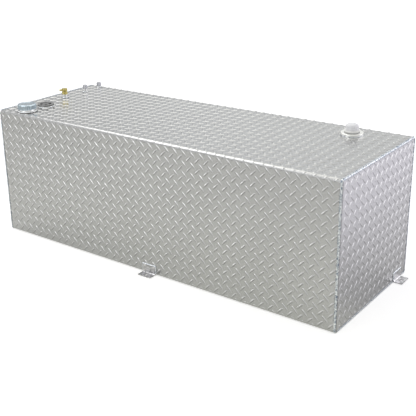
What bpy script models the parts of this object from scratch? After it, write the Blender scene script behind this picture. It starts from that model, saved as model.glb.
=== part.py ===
"""Truck bed transfer tank: a rectangular welded aluminium tread-plate tank with its top fittings.

Metres, +Z up. The origin is the centre of the tank's underside, +X runs along the long side,
-Y is the long front face and the filler end is at -X.
"""

import math

import bmesh
import bpy
from mathutils import Matrix, Vector

# Clearances between neighbouring pieces, still ones and moving ones
GAP = 0.0003
RUNNING_GAP = 0.0006

# The shell
TANK_LENGTH = 1.4224
TANK_DEPTH = 0.508
TANK_HEIGHT = 0.4826
SHEET = 0.00254
BEND_RADIUS = 0.009
BEND_SEGMENTS = 5
END_BEAD_LEG = 0.007
END_BEAD_CROWN = 0.0003
END_BEAD_STEPS = 4

# The surge plates
BAFFLE_FROM_END = 0.4742
BAFFLE_X = TANK_LENGTH / 2 - BAFFLE_FROM_END
BAFFLE_FLANGE = 0.025
BAFFLE_CORNER_CUT = 0.050
BAFFLE_FOLD_RADIUS = 0.004
BAFFLE_HOLE_RADIUS = 0.050
BAFFLE_HOLE_SPACING = 0.150

# The welded hold-down angles
TAB_WIDTH = 0.054
TAB_LEG = 0.03175
TAB_THICKNESS = 0.0032
TAB_ROOT_RADIUS = 0.003
TAB_HOLE_RADIUS = 0.0055
TAB_BEAD = 0.0045
TAB_BEAD_STEPS = 4
FRONT_TAB_X = 0.0
END_TAB_FROM_BACK = 0.069
END_TAB_Y = TANK_DEPTH / 2 - END_TAB_FROM_BACK

# The filler, with heights above the tank's top
FILLER_FROM_END = 0.1032
FILLER_FROM_FRONT = 0.046
FILLER_X = FILLER_FROM_END - TANK_LENGTH / 2
FILLER_Y = FILLER_FROM_FRONT - TANK_DEPTH / 2
NECK_BORE_RADIUS = 0.02625
NECK_RADIUS = 0.03015
NECK_RISE = 0.0236
NECK_RING_RADIUS = 0.0375
NECK_RING_HEIGHT = 0.0072
CAP_RADIUS = 0.035
CAP_FOOT = 0.0103
CAP_ROOF = 0.0027
CAP_RIBS = 32
CAP_RIB_DEPTH = 0.0011
CAP_DISH_RADIUS = 0.0245
CAP_DISH_DEPTH = 0.0008
CAP_GASKET = 0.0018
CAP_GASKET_LIP = 0.0010
FITTING_DROP = 0.009

# The pump opening
PUMP_FROM_END = 0.1072
PUMP_FROM_FRONT = 0.136
PUMP_X = PUMP_FROM_END - TANK_LENGTH / 2
PUMP_Y = PUMP_FROM_FRONT - TANK_DEPTH / 2
PUMP_BORE_RADIUS = 0.0285
PUMP_SKIRT_RADIUS = 0.0322
PUMP_SKIRT_DROP = 0.012
PUMP_RING_RADIUS = 0.034
PUMP_RING_HEIGHT = 0.0055
PUMP_GASKET = 0.0016
PLUG_FLANGE_RADIUS = 0.032
PLUG_FLANGE = 0.0030
PLUG_SKIRT = 0.016
PLUG_WALL = 0.003
PLUG_RECESS_RADIUS = 0.022
PLUG_RECESS_DEPTH = 0.009
PLUG_GRIP_WIDTH = 0.006
PLUG_GRIP_SINK = 0.0012

# The relief vent
VENT_FROM_END = 0.0692
VENT_FROM_BACK = 0.233
VENT_X = VENT_FROM_END - TANK_LENGTH / 2
VENT_Y = TANK_DEPTH / 2 - VENT_FROM_BACK
VENT_RING_RADIUS = 0.0140
VENT_NECK_RADIUS = 0.0113
VENT_NECK_HEIGHT = 0.0140
VENT_BORE_RADIUS = 0.0076
VENT_HEX_FLATS = 0.0206
VENT_HEX_HEIGHT = 0.0078
VENT_WAIST_RADIUS = 0.0095
VENT_WAIST_HEIGHT = 0.0040
VENT_BARREL_RADIUS = 0.0111
VENT_BARREL_HEIGHT = 0.0084
VENT_LID_HEIGHT = 0.0024
VENT_LID_SPIGOT = 0.0015
VENT_CHAMBER_RADIUS = 0.0078
VENT_SEAT_RISE = 0.0010
VENT_PORT_RADIUS = 0.0045
VENT_SHANK = 0.010
VENT_OUTLET_RADIUS = 0.0036
VENT_OUTLET_SPIGOT_RADIUS = 0.0024
VENT_OUTLET_BORE_RADIUS = 0.0015
VENT_OUTLET_REACH = 0.0085
VENT_OUTLET_ANGLE = math.radians(218)
POPPET_DISC = 0.0018
POPPET_STEM_RADIUS = 0.0030
POPPET_STEM = 0.006
SPRING_RADIUS = 0.0052
SPRING_WIRE_RADIUS = 0.0004
SPRING_TURNS = 4

# The two small plugged openings
SMALL_RING_RADIUS = 0.0125
SMALL_NECK_RADIUS = 0.0100
SMALL_BORE_RADIUS = 0.0062
SMALL_PLUG_FLATS = 0.0165
SMALL_PLUG_HEAD = 0.0150
SMALL_PLUG_SHANK = 0.0100
SUPPLY_FROM_END = 0.0662
SUPPLY_FROM_BACK = 0.115
SUPPLY_NECK_HEIGHT = 0.0125
SUPPLY_X = SUPPLY_FROM_END - TANK_LENGTH / 2
SUPPLY_Y = TANK_DEPTH / 2 - SUPPLY_FROM_BACK
RETURN_FROM_END = 0.0552
RETURN_FROM_BACK = 0.022
RETURN_NECK_HEIGHT = 0.0042
RETURN_X = RETURN_FROM_END - TANK_LENGTH / 2
RETURN_Y = TANK_DEPTH / 2 - RETURN_FROM_BACK

# The float gauge above the tank's top
GAUGE_FROM_END = 0.1787
GAUGE_FROM_BACK = 0.090
GAUGE_X = TANK_LENGTH / 2 - GAUGE_FROM_END
GAUGE_Y = TANK_DEPTH / 2 - GAUGE_FROM_BACK
GAUGE_RING_RADIUS = 0.0375
GAUGE_RING_HEIGHT = 0.0080
GAUGE_BORE_RADIUS = 0.0222
GAUGE_SKIRT_RADIUS = 0.0290
GAUGE_GASKET = 0.0015
GAUGE_RIM_RADIUS = 0.0255
GAUGE_RIM_FOOT_RADIUS = 0.0240
GAUGE_RIM_HEIGHT = 0.0065
GAUGE_SHANK_DROP = 0.0060
GAUGE_SHANK_WALL = 0.0034
GAUGE_WELL_RADIUS = 0.0150
GAUGE_WELL_DEPTH = 0.0045
GAUGE_WELL_FLOOR = 0.0040
GAUGE_BOSS_RADIUS = 0.0085
CUP_RADIUS = 0.0215
CUP_HEIGHT = 0.0190
CUP_CHAMFER = 0.0065
CUP_WALL = 0.0018
CUP_RIBS = 12
CUP_RIB_DEPTH = 0.0008
DISC_RADIUS = 0.0125
DISC_THICKNESS = 0.0025

# The float gauge below it, with the pivot's height above the tank's underside
TUBE_RADIUS = 0.0060
TUBE_BORE_RADIUS = 0.0040
ROD_RADIUS = 0.0016
PIVOT_HEIGHT = 0.240
PIVOT_OFFSET = 0.0085
PIVOT_PIN_RADIUS = 0.0015
PIVOT_HEAD_RADIUS = 0.0028
PIVOT_HEAD = 0.0010
FLOAT_REACH = 0.230
FLOAT_REST = math.radians(-45)
CRANK_RADIUS = 0.0099
CRANK_PIN_RADIUS = 0.0012
CRANK_PIN_END_Y = 0.0018
CRANK_HALF_HEIGHT = 0.0032
ARM_WIRE_RADIUS = 0.0016
ARM_PLANE_Y = -0.0041
ARM_PLATE = 0.0036
SLEEVE_RADIUS = 0.0034
YOKE_THICKNESS = 0.0024
YOKE_WALL = 0.0012
YOKE_SIDE_PLAY = 0.0006
YOKE_RISE_PLAY = 0.0007
BRACKET_SHEET = 0.0015
BRACKET_HALF_WIDTH = 0.0097
BRACKET_ABOVE_PIVOT = 0.0200
BRACKET_BELOW_PIVOT = 0.0055
BRACKET_BACK_X = -0.0065
BRACKET_FRONT_X = 0.0135
FLOAT_RADIUS = 0.018
FLOAT_LENGTH = 0.060
FLOAT_EDGE = 0.004
CLIP_RADIUS = 0.0045
CLIP_THICKNESS = 0.0012
WIRE_END = 0.0012

# Facets round a circle, and points round a rib or a turn of wire
LARGE_ROUND = 32
MEDIUM_ROUND = 22
SMALL_ROUND = 12
POINTS_PER_RIB = 3
POINTS_PER_TURN = 9

CUTTER_REACH = 0.05

# Colour, roughness and metallic value of each finish
FINISHES = {
    "tread_sheet": ((0.56, 0.56, 0.55), 0.34, 1.0),
    "weld_metal": ((0.66, 0.66, 0.68), 0.30, 1.0),
    "turned_aluminium": ((0.78, 0.78, 0.77), 0.28, 1.0),
    "zinc_plate": ((0.50, 0.57, 0.62), 0.26, 1.0),
    "bright_steel": ((0.42, 0.42, 0.43), 0.30, 1.0),
    "brass": ((0.60, 0.44, 0.14), 0.26, 1.0),
    "black_plastic": ((0.03, 0.03, 0.03), 0.40, 0.0),
    "rubber": ((0.02, 0.02, 0.02), 0.75, 0.0),
    "white_plastic": ((0.80, 0.80, 0.78), 0.35, 0.0),
    "clear_plastic": ((0.86, 0.87, 0.88), 0.20, 0.0),
    "red_plastic": ((0.55, 0.04, 0.03), 0.45, 0.0),
    "float_foam": ((0.10, 0.09, 0.08), 0.80, 0.0),
}


def clear_scene():
    for obj in list(bpy.data.objects):
        bpy.data.objects.remove(obj, do_unlink=True)


def make_collection(name):
    collection = bpy.data.collections.new(name)
    bpy.context.scene.collection.children.link(collection)
    return collection


def finish_material(name):
    """One of the tank's finishes, made when it is first asked for."""
    found = bpy.data.materials.get(name)
    if found:
        return found
    colour, roughness, metallic = FINISHES[name]
    made = bpy.data.materials.new(name)
    made.use_nodes = True
    shader = made.node_tree.nodes["Principled BSDF"]
    shader.inputs["Base Color"].default_value = (*colour, 1.0)
    shader.inputs["Roughness"].default_value = roughness
    shader.inputs["Metallic"].default_value = metallic
    return made


def add_object(name, data, finish, location=(0, 0, 0)):
    """An object of the tank, or a wire-drawn cutter where no finish is given."""
    obj = bpy.data.objects.new(name, data)
    obj.location = location
    if finish:
        data.materials.append(finish_material(finish))
        parts.objects.link(obj)
    else:
        obj.hide_render = True
        obj.display_type = "WIRE"
        cutters.objects.link(obj)
    return obj


def shade_round(obj, angle=35):
    obj.data.shade_smooth()
    obj.data.set_sharp_from_angle(angle=math.radians(angle))


def mesh_from(name, build):
    mesh = bpy.data.meshes.new(name)
    work = bmesh.new()
    build(work)
    work.to_mesh(mesh)
    work.free()
    return mesh


def turned(name, profile, finish, location=(0, 0, 0), segments=LARGE_ROUND, bored=True):
    """(radius, height) points turned about Z: down the outside and up the bore, or axis to axis."""

    def build(work):
        points = [work.verts.new((radius, 0, height)) for radius, height in profile]
        for start, end in zip(points, points[1:]):
            work.edges.new((start, end))
        if bored:
            work.edges.new((points[-1], points[0]))

    obj = add_object(name, mesh_from(name, build), finish, location)
    screw = obj.modifiers.new("turn", "SCREW")
    screw.steps = segments
    screw.render_steps = segments
    screw.use_merge_vertices = True
    screw.merge_threshold = 0.00001
    return obj


def lofted(name, rings, finish, around=False, location=(0, 0, 0)):
    """A skin over rings of equal point counts; around joins the last ring to the first."""

    def build(work):
        rows = [[work.verts.new(point) for point in ring] for ring in rings]
        pairs = list(zip(rows, rows[1:]))
        if around:
            pairs.append((rows[-1], rows[0]))
        for lower, upper in pairs:
            for one in range(len(lower)):
                two = (one + 1) % len(lower)
                work.faces.new((lower[one], lower[two], upper[two], upper[one]))
        if not around:
            work.faces.new(rows[0][::-1])
            work.faces.new(rows[-1])
        bmesh.ops.recalc_face_normals(work, faces=work.faces)

    obj = add_object(name, mesh_from(name, build), finish, location)
    shade_round(obj)
    return obj


def cylinder(name, radius, low, high, centre=(0, 0, 0), axis="Z", segments=SMALL_ROUND, finish=None):
    """A closed cylinder that runs from low to high along its axis, measured from the centre."""
    turns = {
        "X": Matrix.Rotation(math.pi / 2, 4, "Y"),
        "Y": Matrix.Rotation(-math.pi / 2, 4, "X"),
        "Z": Matrix.Identity(4),
    }

    def build(work):
        bmesh.ops.create_cone(
            work,
            cap_ends=True,
            segments=segments,
            radius1=radius,
            radius2=radius,
            depth=high - low,
            matrix=turns[axis] @ Matrix.Translation((0, 0, (low + high) / 2)),
        )

    obj = add_object(name, mesh_from(name, build), finish, centre)
    shade_round(obj)
    return obj


def block(name, low, high, location=(0, 0, 0), finish=None):
    """A block between two corners, measured from its location."""
    low, high = Vector(low), Vector(high)

    def build(work):
        size = Matrix.Diagonal((*(high - low), 1))
        bmesh.ops.create_cube(work, size=1, matrix=Matrix.Translation((low + high) / 2) @ size)

    return add_object(name, mesh_from(name, build), finish, location)


def boolean(obj, other, operation):
    modifier = obj.modifiers.new(f"{operation.lower()} {other.name}", "BOOLEAN")
    modifier.operation = operation
    modifier.solver = "EXACT"
    modifier.object = other


def cut(obj, *others):
    for other in others:
        boolean(obj, other, "DIFFERENCE")


def join(obj, *others):
    for other in others:
        boolean(obj, other, "UNION")


def rounded_rectangle(width, height, radius, segments=BEND_SEGMENTS):
    """Points of a rectangle with round corners, anticlockwise."""
    points = []
    for number, (side, level) in enumerate(((1, -1), (1, 1), (-1, 1), (-1, -1))):
        centre = Vector((side * (width / 2 - radius), level * (height / 2 - radius)))
        for step in range(segments + 1):
            angle = math.pi / 2 * (number - 1 + step / segments)
            points.append(centre + radius * Vector((math.cos(angle), math.sin(angle))))
    return points


# The shell


def build_wrap():
    """One sheet folded round front, top, back and bottom, with a bore for each welded fitting."""
    half = TANK_LENGTH / 2 - SHEET - GAP
    outline = rounded_rectangle(TANK_DEPTH, TANK_HEIGHT, BEND_RADIUS)

    def build(work):
        left, right = (
            [work.verts.new((x, point.x, point.y + TANK_HEIGHT / 2)) for point in outline]
            for x in (-half, half)
        )
        for one in range(len(outline)):
            two = (one + 1) % len(outline)
            work.faces.new((left[one], left[two], right[two], right[one]))
        bmesh.ops.recalc_face_normals(work, faces=work.faces)

    wrap = add_object("tank_wrap", mesh_from("tank_wrap", build), "tread_sheet")
    wall = wrap.modifiers.new("wall", "SOLIDIFY")
    wall.thickness = SHEET
    wall.offset = -1
    wall.use_even_offset = True
    bores = {
        "filler": (FILLER_X, FILLER_Y, NECK_RADIUS, LARGE_ROUND),
        "pump": (PUMP_X, PUMP_Y, PUMP_SKIRT_RADIUS, LARGE_ROUND),
        "vent": (VENT_X, VENT_Y, VENT_NECK_RADIUS, MEDIUM_ROUND),
        "supply": (SUPPLY_X, SUPPLY_Y, SMALL_NECK_RADIUS, MEDIUM_ROUND),
        "return": (RETURN_X, RETURN_Y, SMALL_NECK_RADIUS, MEDIUM_ROUND),
        "gauge": (GAUGE_X, GAUGE_Y, GAUGE_SKIRT_RADIUS, LARGE_ROUND),
    }
    for fitting, (x, y, radius, segments) in bores.items():
        name = f"cut_{fitting}_bore"
        centre = (x, y, TANK_HEIGHT)
        cut(wrap, cylinder(name, radius + GAP, -CUTTER_REACH, CUTTER_REACH, centre, "Z", segments))
    shade_round(wrap)


def build_end_plate(name, side):
    """A flat end that stops one sheet inside the wrap's outer face, where the corner bead fills in."""
    inset = SHEET + GAP
    outline = rounded_rectangle(TANK_DEPTH - 2 * inset, TANK_HEIGHT - 2 * inset, BEND_RADIUS - inset)
    curve = bpy.data.curves.new(name, "CURVE")
    curve.dimensions = "2D"
    curve.fill_mode = "BOTH"
    curve.extrude = SHEET / 2
    spline = curve.splines.new("POLY")
    spline.points.add(len(outline) - 1)
    for point, place in zip(spline.points, outline):
        point.co = (place.x, place.y, 0, 1)
    spline.use_cyclic_u = True
    centre = (side * (TANK_LENGTH - SHEET) / 2, 0, TANK_HEIGHT / 2)
    plate = add_object(name, curve, "tread_sheet", centre)
    plate.rotation_euler = (math.pi / 2, 0, math.pi / 2)


def end_bead_section():
    """(out from the wrap, out from the end plate) points: an arc from toe to toe, then the root.

    The arc is the circle through both toes and a crown just beyond the tank's corner, so its
    centre lies on the diagonal, at the same distance in from both faces.
    """
    toe = Vector((GAP, -END_BEAD_LEG))
    crown = END_BEAD_CROWN
    centre = (2 * crown**2 - toe.length_squared) / (4 * crown - 2 * (toe.x + toe.y))
    radius = math.sqrt(2) * (crown - centre)
    start = math.atan2(toe.y - centre, toe.x - centre)
    end = math.pi / 2 - start
    points = []
    for step in range(END_BEAD_STEPS + 1):
        angle = start + (end - start) * step / END_BEAD_STEPS
        points.append((centre + radius * math.cos(angle), centre + radius * math.sin(angle)))
    return points + [(-SHEET, GAP), (-SHEET, -SHEET), (GAP, -SHEET)]


def build_end_weld(name, side):
    """The bead run right round the corner, dressed flush underneath and flat where the angle sits."""
    rings = []
    for out, along in end_bead_section():
        outline = rounded_rectangle(TANK_DEPTH + 2 * out, TANK_HEIGHT + 2 * out, BEND_RADIUS + out)
        x = side * (TANK_LENGTH / 2 + along)
        rings.append([(x, point.x, point.y + TANK_HEIGHT / 2) for point in outline])
    bead = lofted(name, rings, "weld_metal", around=True)
    reach = TANK_LENGTH
    under = block(f"cut_{name}_under", (-reach, -reach, -CUTTER_REACH), (reach, reach, 0))
    half = TAB_WIDTH / 2 + TAB_BEAD + 2 * GAP
    near, far = sorted((0, side * CUTTER_REACH))
    place = (side * TANK_LENGTH / 2, END_TAB_Y, 0)
    seat = block(f"cut_{name}_seat", (near, -half, -CUTTER_REACH), (far, half, TAB_LEG), place)
    cut(bead, under, seat)


def build_baffle(name, x, side):
    """A pressed surge plate: a web with clipped corners, flanges folded to one side, flow holes."""
    half_y = TANK_DEPTH / 2 - SHEET - GAP
    half_z = TANK_HEIGHT / 2 - SHEET - GAP
    clip = BAFFLE_CORNER_CUT
    quarter = [(half_y - clip, -half_z), (half_y, -half_z + clip)]
    half = quarter + [(y, -z) for y, z in quarter[::-1]]
    web = half + [(-y, z) for y, z in half[::-1]]

    def build(work):
        points = [work.verts.new((x, y, z + TANK_HEIGHT / 2)) for y, z in web]
        work.faces.new(points)
        fold_over = Vector((side * BAFFLE_FLANGE, 0, 0))
        for start in range(1, len(points), 2):
            one, two = points[start], points[(start + 1) % len(points)]
            over_one, over_two = (work.verts.new(point.co + fold_over) for point in (one, two))
            work.faces.new((two, one, over_one, over_two))
        if side > 0:
            bmesh.ops.reverse_faces(work, faces=work.faces)

    baffle = add_object(name, mesh_from(name, build), "turned_aluminium")
    fold = baffle.modifiers.new("fold", "BEVEL")
    fold.width = BAFFLE_FOLD_RADIUS
    fold.segments = 3
    fold.limit_method = "ANGLE"
    wall = baffle.modifiers.new("wall", "SOLIDIFY")
    wall.thickness = SHEET
    wall.offset = -1
    wall.use_even_offset = True
    for number in (-1, 0, 1):
        hole = f"cut_{name}_hole_{number + 2}"
        centre = (x, number * BAFFLE_HOLE_SPACING, TANK_HEIGHT / 2)
        reach = CUTTER_REACH
        cut(baffle, cylinder(hole, BAFFLE_HOLE_RADIUS, -reach, reach, centre, "X", MEDIUM_ROUND))
    shade_round(baffle)


# The hold-down angles


def tab_places():
    """Where each angle meets its wall, and how far it is turned from facing the front."""
    end = TANK_LENGTH / 2
    return {
        "front_tab": (Vector((FRONT_TAB_X, -TANK_DEPTH / 2, 0)), 0),
        "right_tab": (Vector((end, END_TAB_Y, 0)), math.pi / 2),
        "left_tab": (Vector((-end, END_TAB_Y, 0)), -math.pi / 2),
    }


def build_tab(name, place, turn):
    """A piece of angle: one leg on the wall, the other on the floor with a bolt hole."""
    leg, thickness, root = TAB_LEG, TAB_THICKNESS, TAB_ROOT_RADIUS
    section = [(0, 0), (leg, 0), (leg, thickness)]
    for step in range(TAB_BEAD_STEPS + 1):
        angle = math.pi / 2 * step / TAB_BEAD_STEPS
        out = thickness + root * (1 - math.sin(angle))
        up = thickness + root * (1 - math.cos(angle))
        section.append((out, up))
    section += [(thickness, leg), (0, leg)]
    rings = [[(x, -GAP - out, up) for out, up in section] for x in (-TAB_WIDTH / 2, TAB_WIDTH / 2)]
    tab = lofted(name, rings, "turned_aluminium", location=place)
    tab.rotation_euler = (0, 0, turn)
    from_wall = GAP + (thickness + root + leg) / 2
    centre = place + Matrix.Rotation(turn, 3, "Z") @ Vector((0, -from_wall, 0))
    reach = CUTTER_REACH
    cut(tab, cylinder(f"cut_{name}_hole", TAB_HOLE_RADIUS, -reach, reach, centre, "Z", MEDIUM_ROUND))


def build_tab_weld(name, place, turn):
    """A fillet up one side of the angle's wall leg, over its top and down the other side."""
    section = [(GAP, GAP)]
    for step in range(TAB_BEAD_STEPS + 1):
        angle = math.pi / 2 * step / TAB_BEAD_STEPS
        out = GAP + (TAB_BEAD - GAP) * math.cos(angle)
        proud = GAP + (TAB_THICKNESS - GAP) * math.sin(angle)
        section.append((out, proud))

    def station(side, height, climb):
        across = side * TAB_WIDTH / 2
        return [(across + side * out, -proud, height + climb * out) for out, proud in section]

    foot = TAB_THICKNESS + TAB_ROOT_RADIUS
    rings = [
        station(-1, foot, 0),
        station(-1, TAB_LEG, 1),
        station(1, TAB_LEG, 1),
        station(1, foot, 0),
    ]
    weld = lofted(name, rings, "weld_metal", location=place)
    weld.rotation_euler = (0, 0, turn)


# The filler


def build_filler_neck():
    """A threaded neck welded through the top on a round ring."""
    ring = NECK_RING_RADIUS
    profile = [
        (NECK_RADIUS - 0.0010, NECK_RISE),
        (NECK_RADIUS, NECK_RISE - 0.0010),
        (NECK_RADIUS, NECK_RING_HEIGHT),
        (ring - 0.0022, NECK_RING_HEIGHT),
        (ring - 0.0008, NECK_RING_HEIGHT - 0.0012),
        (ring - 0.0006, 0.0026),
        (ring + 0.0008, GAP),
        (NECK_RADIUS, GAP),
        (NECK_RADIUS, -FITTING_DROP),
        (NECK_BORE_RADIUS, -FITTING_DROP),
        (NECK_BORE_RADIUS, NECK_RISE),
    ]
    turned("filler_neck", profile, "turned_aluminium", (FILLER_X, FILLER_Y, TANK_HEIGHT))


def ribbed_ring(radius, depth, ribs, height):
    """A circle whose radius swells and dips once for each rib."""
    points = []
    count = ribs * POINTS_PER_RIB
    for step in range(count):
        angle = math.tau * step / count
        reach = radius - depth * (1 - math.cos(ribs * angle)) / 2
        points.append((reach * math.cos(angle), reach * math.sin(angle), height))
    return points


def build_filler_cap():
    """A plated screw cap: a ribbed skirt over the neck, rolled edges and a slightly dished top."""
    under = NECK_RISE + CAP_GASKET + 2 * GAP
    top = under + CAP_ROOF
    levels = [
        (0.0016, 0.0, CAP_FOOT),
        (0.0002, 1.0, CAP_FOOT + 0.0012),
        (0.0, 1.0, CAP_FOOT + 0.0026),
        (0.0, 1.0, top - 0.0036),
        (0.0006, 0.7, top - 0.0018),
        (0.0024, 0.0, top - 0.0004),
        (0.0042, 0.0, top),
    ]
    rings = [
        ribbed_ring(CAP_RADIUS - inset, share * CAP_RIB_DEPTH, CAP_RIBS, height)
        for inset, share, height in levels
    ]
    place = (FILLER_X, FILLER_Y, TANK_HEIGHT)
    cap = lofted("filler_cap", rings, "zinc_plate", location=place)
    radius = NECK_RADIUS + RUNNING_GAP
    bore = cylinder("cut_cap_bore", radius, -CUTTER_REACH, under, place, segments=LARGE_ROUND)
    floor = top - CAP_DISH_DEPTH
    dish_profile = [
        (0, top + 0.002),
        (CAP_DISH_RADIUS + 0.0025, top + 0.002),
        (CAP_DISH_RADIUS - 0.0010, floor),
        (0, floor),
    ]
    cut(cap, bore, turned("cut_cap_dish", dish_profile, None, place, bored=False))


def build_filler_cap_gasket():
    low = NECK_RISE + GAP
    inner = NECK_BORE_RADIUS - CAP_GASKET_LIP
    profile = [
        (NECK_RADIUS, low + CAP_GASKET),
        (NECK_RADIUS, low),
        (inner, low),
        (inner, low + CAP_GASKET),
    ]
    turned("filler_cap_gasket", profile, "rubber", (FILLER_X, FILLER_Y, TANK_HEIGHT))


# The pump opening


def build_pump_bung():
    """A threaded ring let into the top, made to carry a transfer pump."""
    ring, height, bore = PUMP_RING_RADIUS, PUMP_RING_HEIGHT, PUMP_BORE_RADIUS
    profile = [
        (bore + 0.0012, height),
        (ring - 0.0006, height),
        (ring, height - 0.0006),
        (ring, 0.0016),
        (ring + 0.0014, GAP),
        (PUMP_SKIRT_RADIUS, GAP),
        (PUMP_SKIRT_RADIUS, -PUMP_SKIRT_DROP),
        (bore, -PUMP_SKIRT_DROP),
        (bore, height - 0.0012),
    ]
    turned("pump_bung", profile, "turned_aluminium", (PUMP_X, PUMP_Y, TANK_HEIGHT))


def build_pump_plug_gasket():
    low = PUMP_RING_HEIGHT + GAP
    outer = PLUG_FLANGE_RADIUS - RUNNING_GAP
    profile = [
        (outer, low + PUMP_GASKET),
        (outer, low),
        (PUMP_BORE_RADIUS, low),
        (PUMP_BORE_RADIUS, low + PUMP_GASKET),
    ]
    turned("pump_plug_gasket", profile, "rubber", (PUMP_X, PUMP_Y, TANK_HEIGHT))


def build_pump_plug():
    """A moulded screw plug: a flange, a hollow skirt and a recess with a crossed wrench grip."""
    low = PUMP_RING_HEIGHT + PUMP_GASKET + 2 * GAP
    top = low + PLUG_FLANGE
    floor = top - PLUG_RECESS_DEPTH
    skirt = PUMP_BORE_RADIUS - GAP
    foot = low - PLUG_SKIRT
    under = floor - PLUG_WALL
    profile = [
        (0, floor),
        (PLUG_RECESS_RADIUS - 0.0010, floor),
        (PLUG_RECESS_RADIUS, top - 0.0006),
        (PLUG_RECESS_RADIUS + 0.0008, top),
        (PLUG_FLANGE_RADIUS - 0.0010, top),
        (PLUG_FLANGE_RADIUS, top - 0.0008),
        (PLUG_FLANGE_RADIUS, low),
        (skirt, low),
        (skirt, foot + 0.0010),
        (skirt - 0.0010, foot),
        (skirt - PLUG_WALL, foot),
        (skirt - PLUG_WALL, under),
        (0, under),
    ]
    place = (PUMP_X, PUMP_Y, TANK_HEIGHT)
    plug = turned("pump_plug", profile, "black_plastic", place, bored=False)
    half = PLUG_GRIP_WIDTH / 2
    reach = PLUG_RECESS_RADIUS + GAP
    for number, (x, y) in enumerate(((reach, half), (half, reach))):
        low_corner = (-x, -y, floor - PLUG_WALL / 2)
        high_corner = (x, y, top - PLUG_GRIP_SINK)
        join(plug, block(f"join_plug_grip_{number + 1}", low_corner, high_corner, place))


# The vent


def vent_levels():
    """Heights above the top: the hexagon's foot, the waist's, the barrel's, the barrel's rim."""
    foot = VENT_NECK_HEIGHT + GAP
    waist = foot + VENT_HEX_HEIGHT
    barrel = waist + VENT_WAIST_HEIGHT
    return foot, waist, barrel, barrel + VENT_BARREL_HEIGHT


def build_vent_bung():
    """A half coupling on a small weld ring."""
    profile = [
        (VENT_BORE_RADIUS + 0.0010, VENT_NECK_HEIGHT),
        (VENT_NECK_RADIUS - 0.0006, VENT_NECK_HEIGHT),
        (VENT_NECK_RADIUS, VENT_NECK_HEIGHT - 0.0006),
        (VENT_NECK_RADIUS, 0.0042),
        (VENT_RING_RADIUS - 0.0008, 0.0026),
        (VENT_RING_RADIUS + 0.0004, GAP),
        (VENT_NECK_RADIUS, GAP),
        (VENT_NECK_RADIUS, -FITTING_DROP),
        (VENT_BORE_RADIUS, -FITTING_DROP),
        (VENT_BORE_RADIUS, VENT_NECK_HEIGHT - 0.0010),
    ]
    place = (VENT_X, VENT_Y, TANK_HEIGHT)
    turned("vent_bung", profile, "turned_aluminium", place, MEDIUM_ROUND)


def hexagon(name, flats, low, high, place, finish=None):
    """A hexagonal prism with its corners turned off by a cone at top and bottom."""
    corner = flats / math.sqrt(3)
    chamfer = corner - flats / 2
    prism = cylinder(name, corner, low, high, place, segments=6, finish=finish)
    crown = [
        (0, high + GAP),
        (flats / 2 - GAP, high + GAP),
        (corner + GAP, high - chamfer),
        (corner + GAP, low + chamfer / 2),
        (flats / 2, low - GAP),
        (0, low - GAP),
    ]
    boolean(prism, turned(f"{name}_crown", crown, None, place, MEDIUM_ROUND, bored=False), "INTERSECT")
    return prism


def build_vent_body():
    """The brass body: shank, wrench hexagon, waist and a barrel bored for the poppet's spring."""
    foot, waist, barrel, rim = vent_levels()
    shank = VENT_BORE_RADIUS - GAP
    seat = waist + VENT_SEAT_RISE
    profile = [
        (VENT_CHAMBER_RADIUS, rim),
        (VENT_BARREL_RADIUS - 0.0004, rim),
        (VENT_BARREL_RADIUS, rim - 0.0004),
        (VENT_BARREL_RADIUS, barrel + 0.0008),
        (VENT_WAIST_RADIUS, barrel - 0.0006),
        (VENT_WAIST_RADIUS, waist - 0.0010),
        (shank, waist - 0.0014),
        (shank, foot - VENT_SHANK + 0.0008),
        (shank - 0.0008, foot - VENT_SHANK),
        (VENT_PORT_RADIUS, foot - VENT_SHANK),
        (VENT_PORT_RADIUS, seat),
        (VENT_CHAMBER_RADIUS, seat),
    ]
    place = (VENT_X, VENT_Y, TANK_HEIGHT)
    body = turned("vent_body", profile, "brass", place, MEDIUM_ROUND)
    collar = hexagon("join_vent_hexagon", VENT_HEX_FLATS, foot, waist, place)
    hollow = (shank + VENT_PORT_RADIUS) / 2
    cut(collar, cylinder("cut_vent_hexagon", hollow, -CUTTER_REACH, CUTTER_REACH, place))
    port_radius = VENT_OUTLET_SPIGOT_RADIUS + GAP
    port = cylinder("cut_vent_port", port_radius, 0, CUTTER_REACH, vent_outlet_place(), "X")
    port.rotation_euler = (0, 0, VENT_OUTLET_ANGLE)
    join(body, collar)
    cut(body, port)


def vent_outlet_place():
    """The outlet's axis crosses the body's axis at the middle of the barrel."""
    _, _, barrel, rim = vent_levels()
    return (VENT_X, VENT_Y, TANK_HEIGHT + (barrel + rim) / 2)


def build_vent_outlet():
    """A nipple pressed into the side of the barrel."""
    foot = VENT_BARREL_RADIUS + GAP
    top = foot + VENT_OUTLET_REACH
    spigot = (VENT_BARREL_RADIUS + VENT_CHAMBER_RADIUS) / 2
    profile = [
        (VENT_OUTLET_BORE_RADIUS, top),
        (VENT_OUTLET_RADIUS - 0.0004, top),
        (VENT_OUTLET_RADIUS, top - 0.0004),
        (VENT_OUTLET_RADIUS, foot),
        (VENT_OUTLET_SPIGOT_RADIUS, foot),
        (VENT_OUTLET_SPIGOT_RADIUS, spigot),
        (VENT_OUTLET_BORE_RADIUS, spigot),
    ]
    outlet = turned("vent_outlet", profile, "brass", vent_outlet_place(), SMALL_ROUND)
    outlet.rotation_euler = (0, math.pi / 2, VENT_OUTLET_ANGLE)


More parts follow.
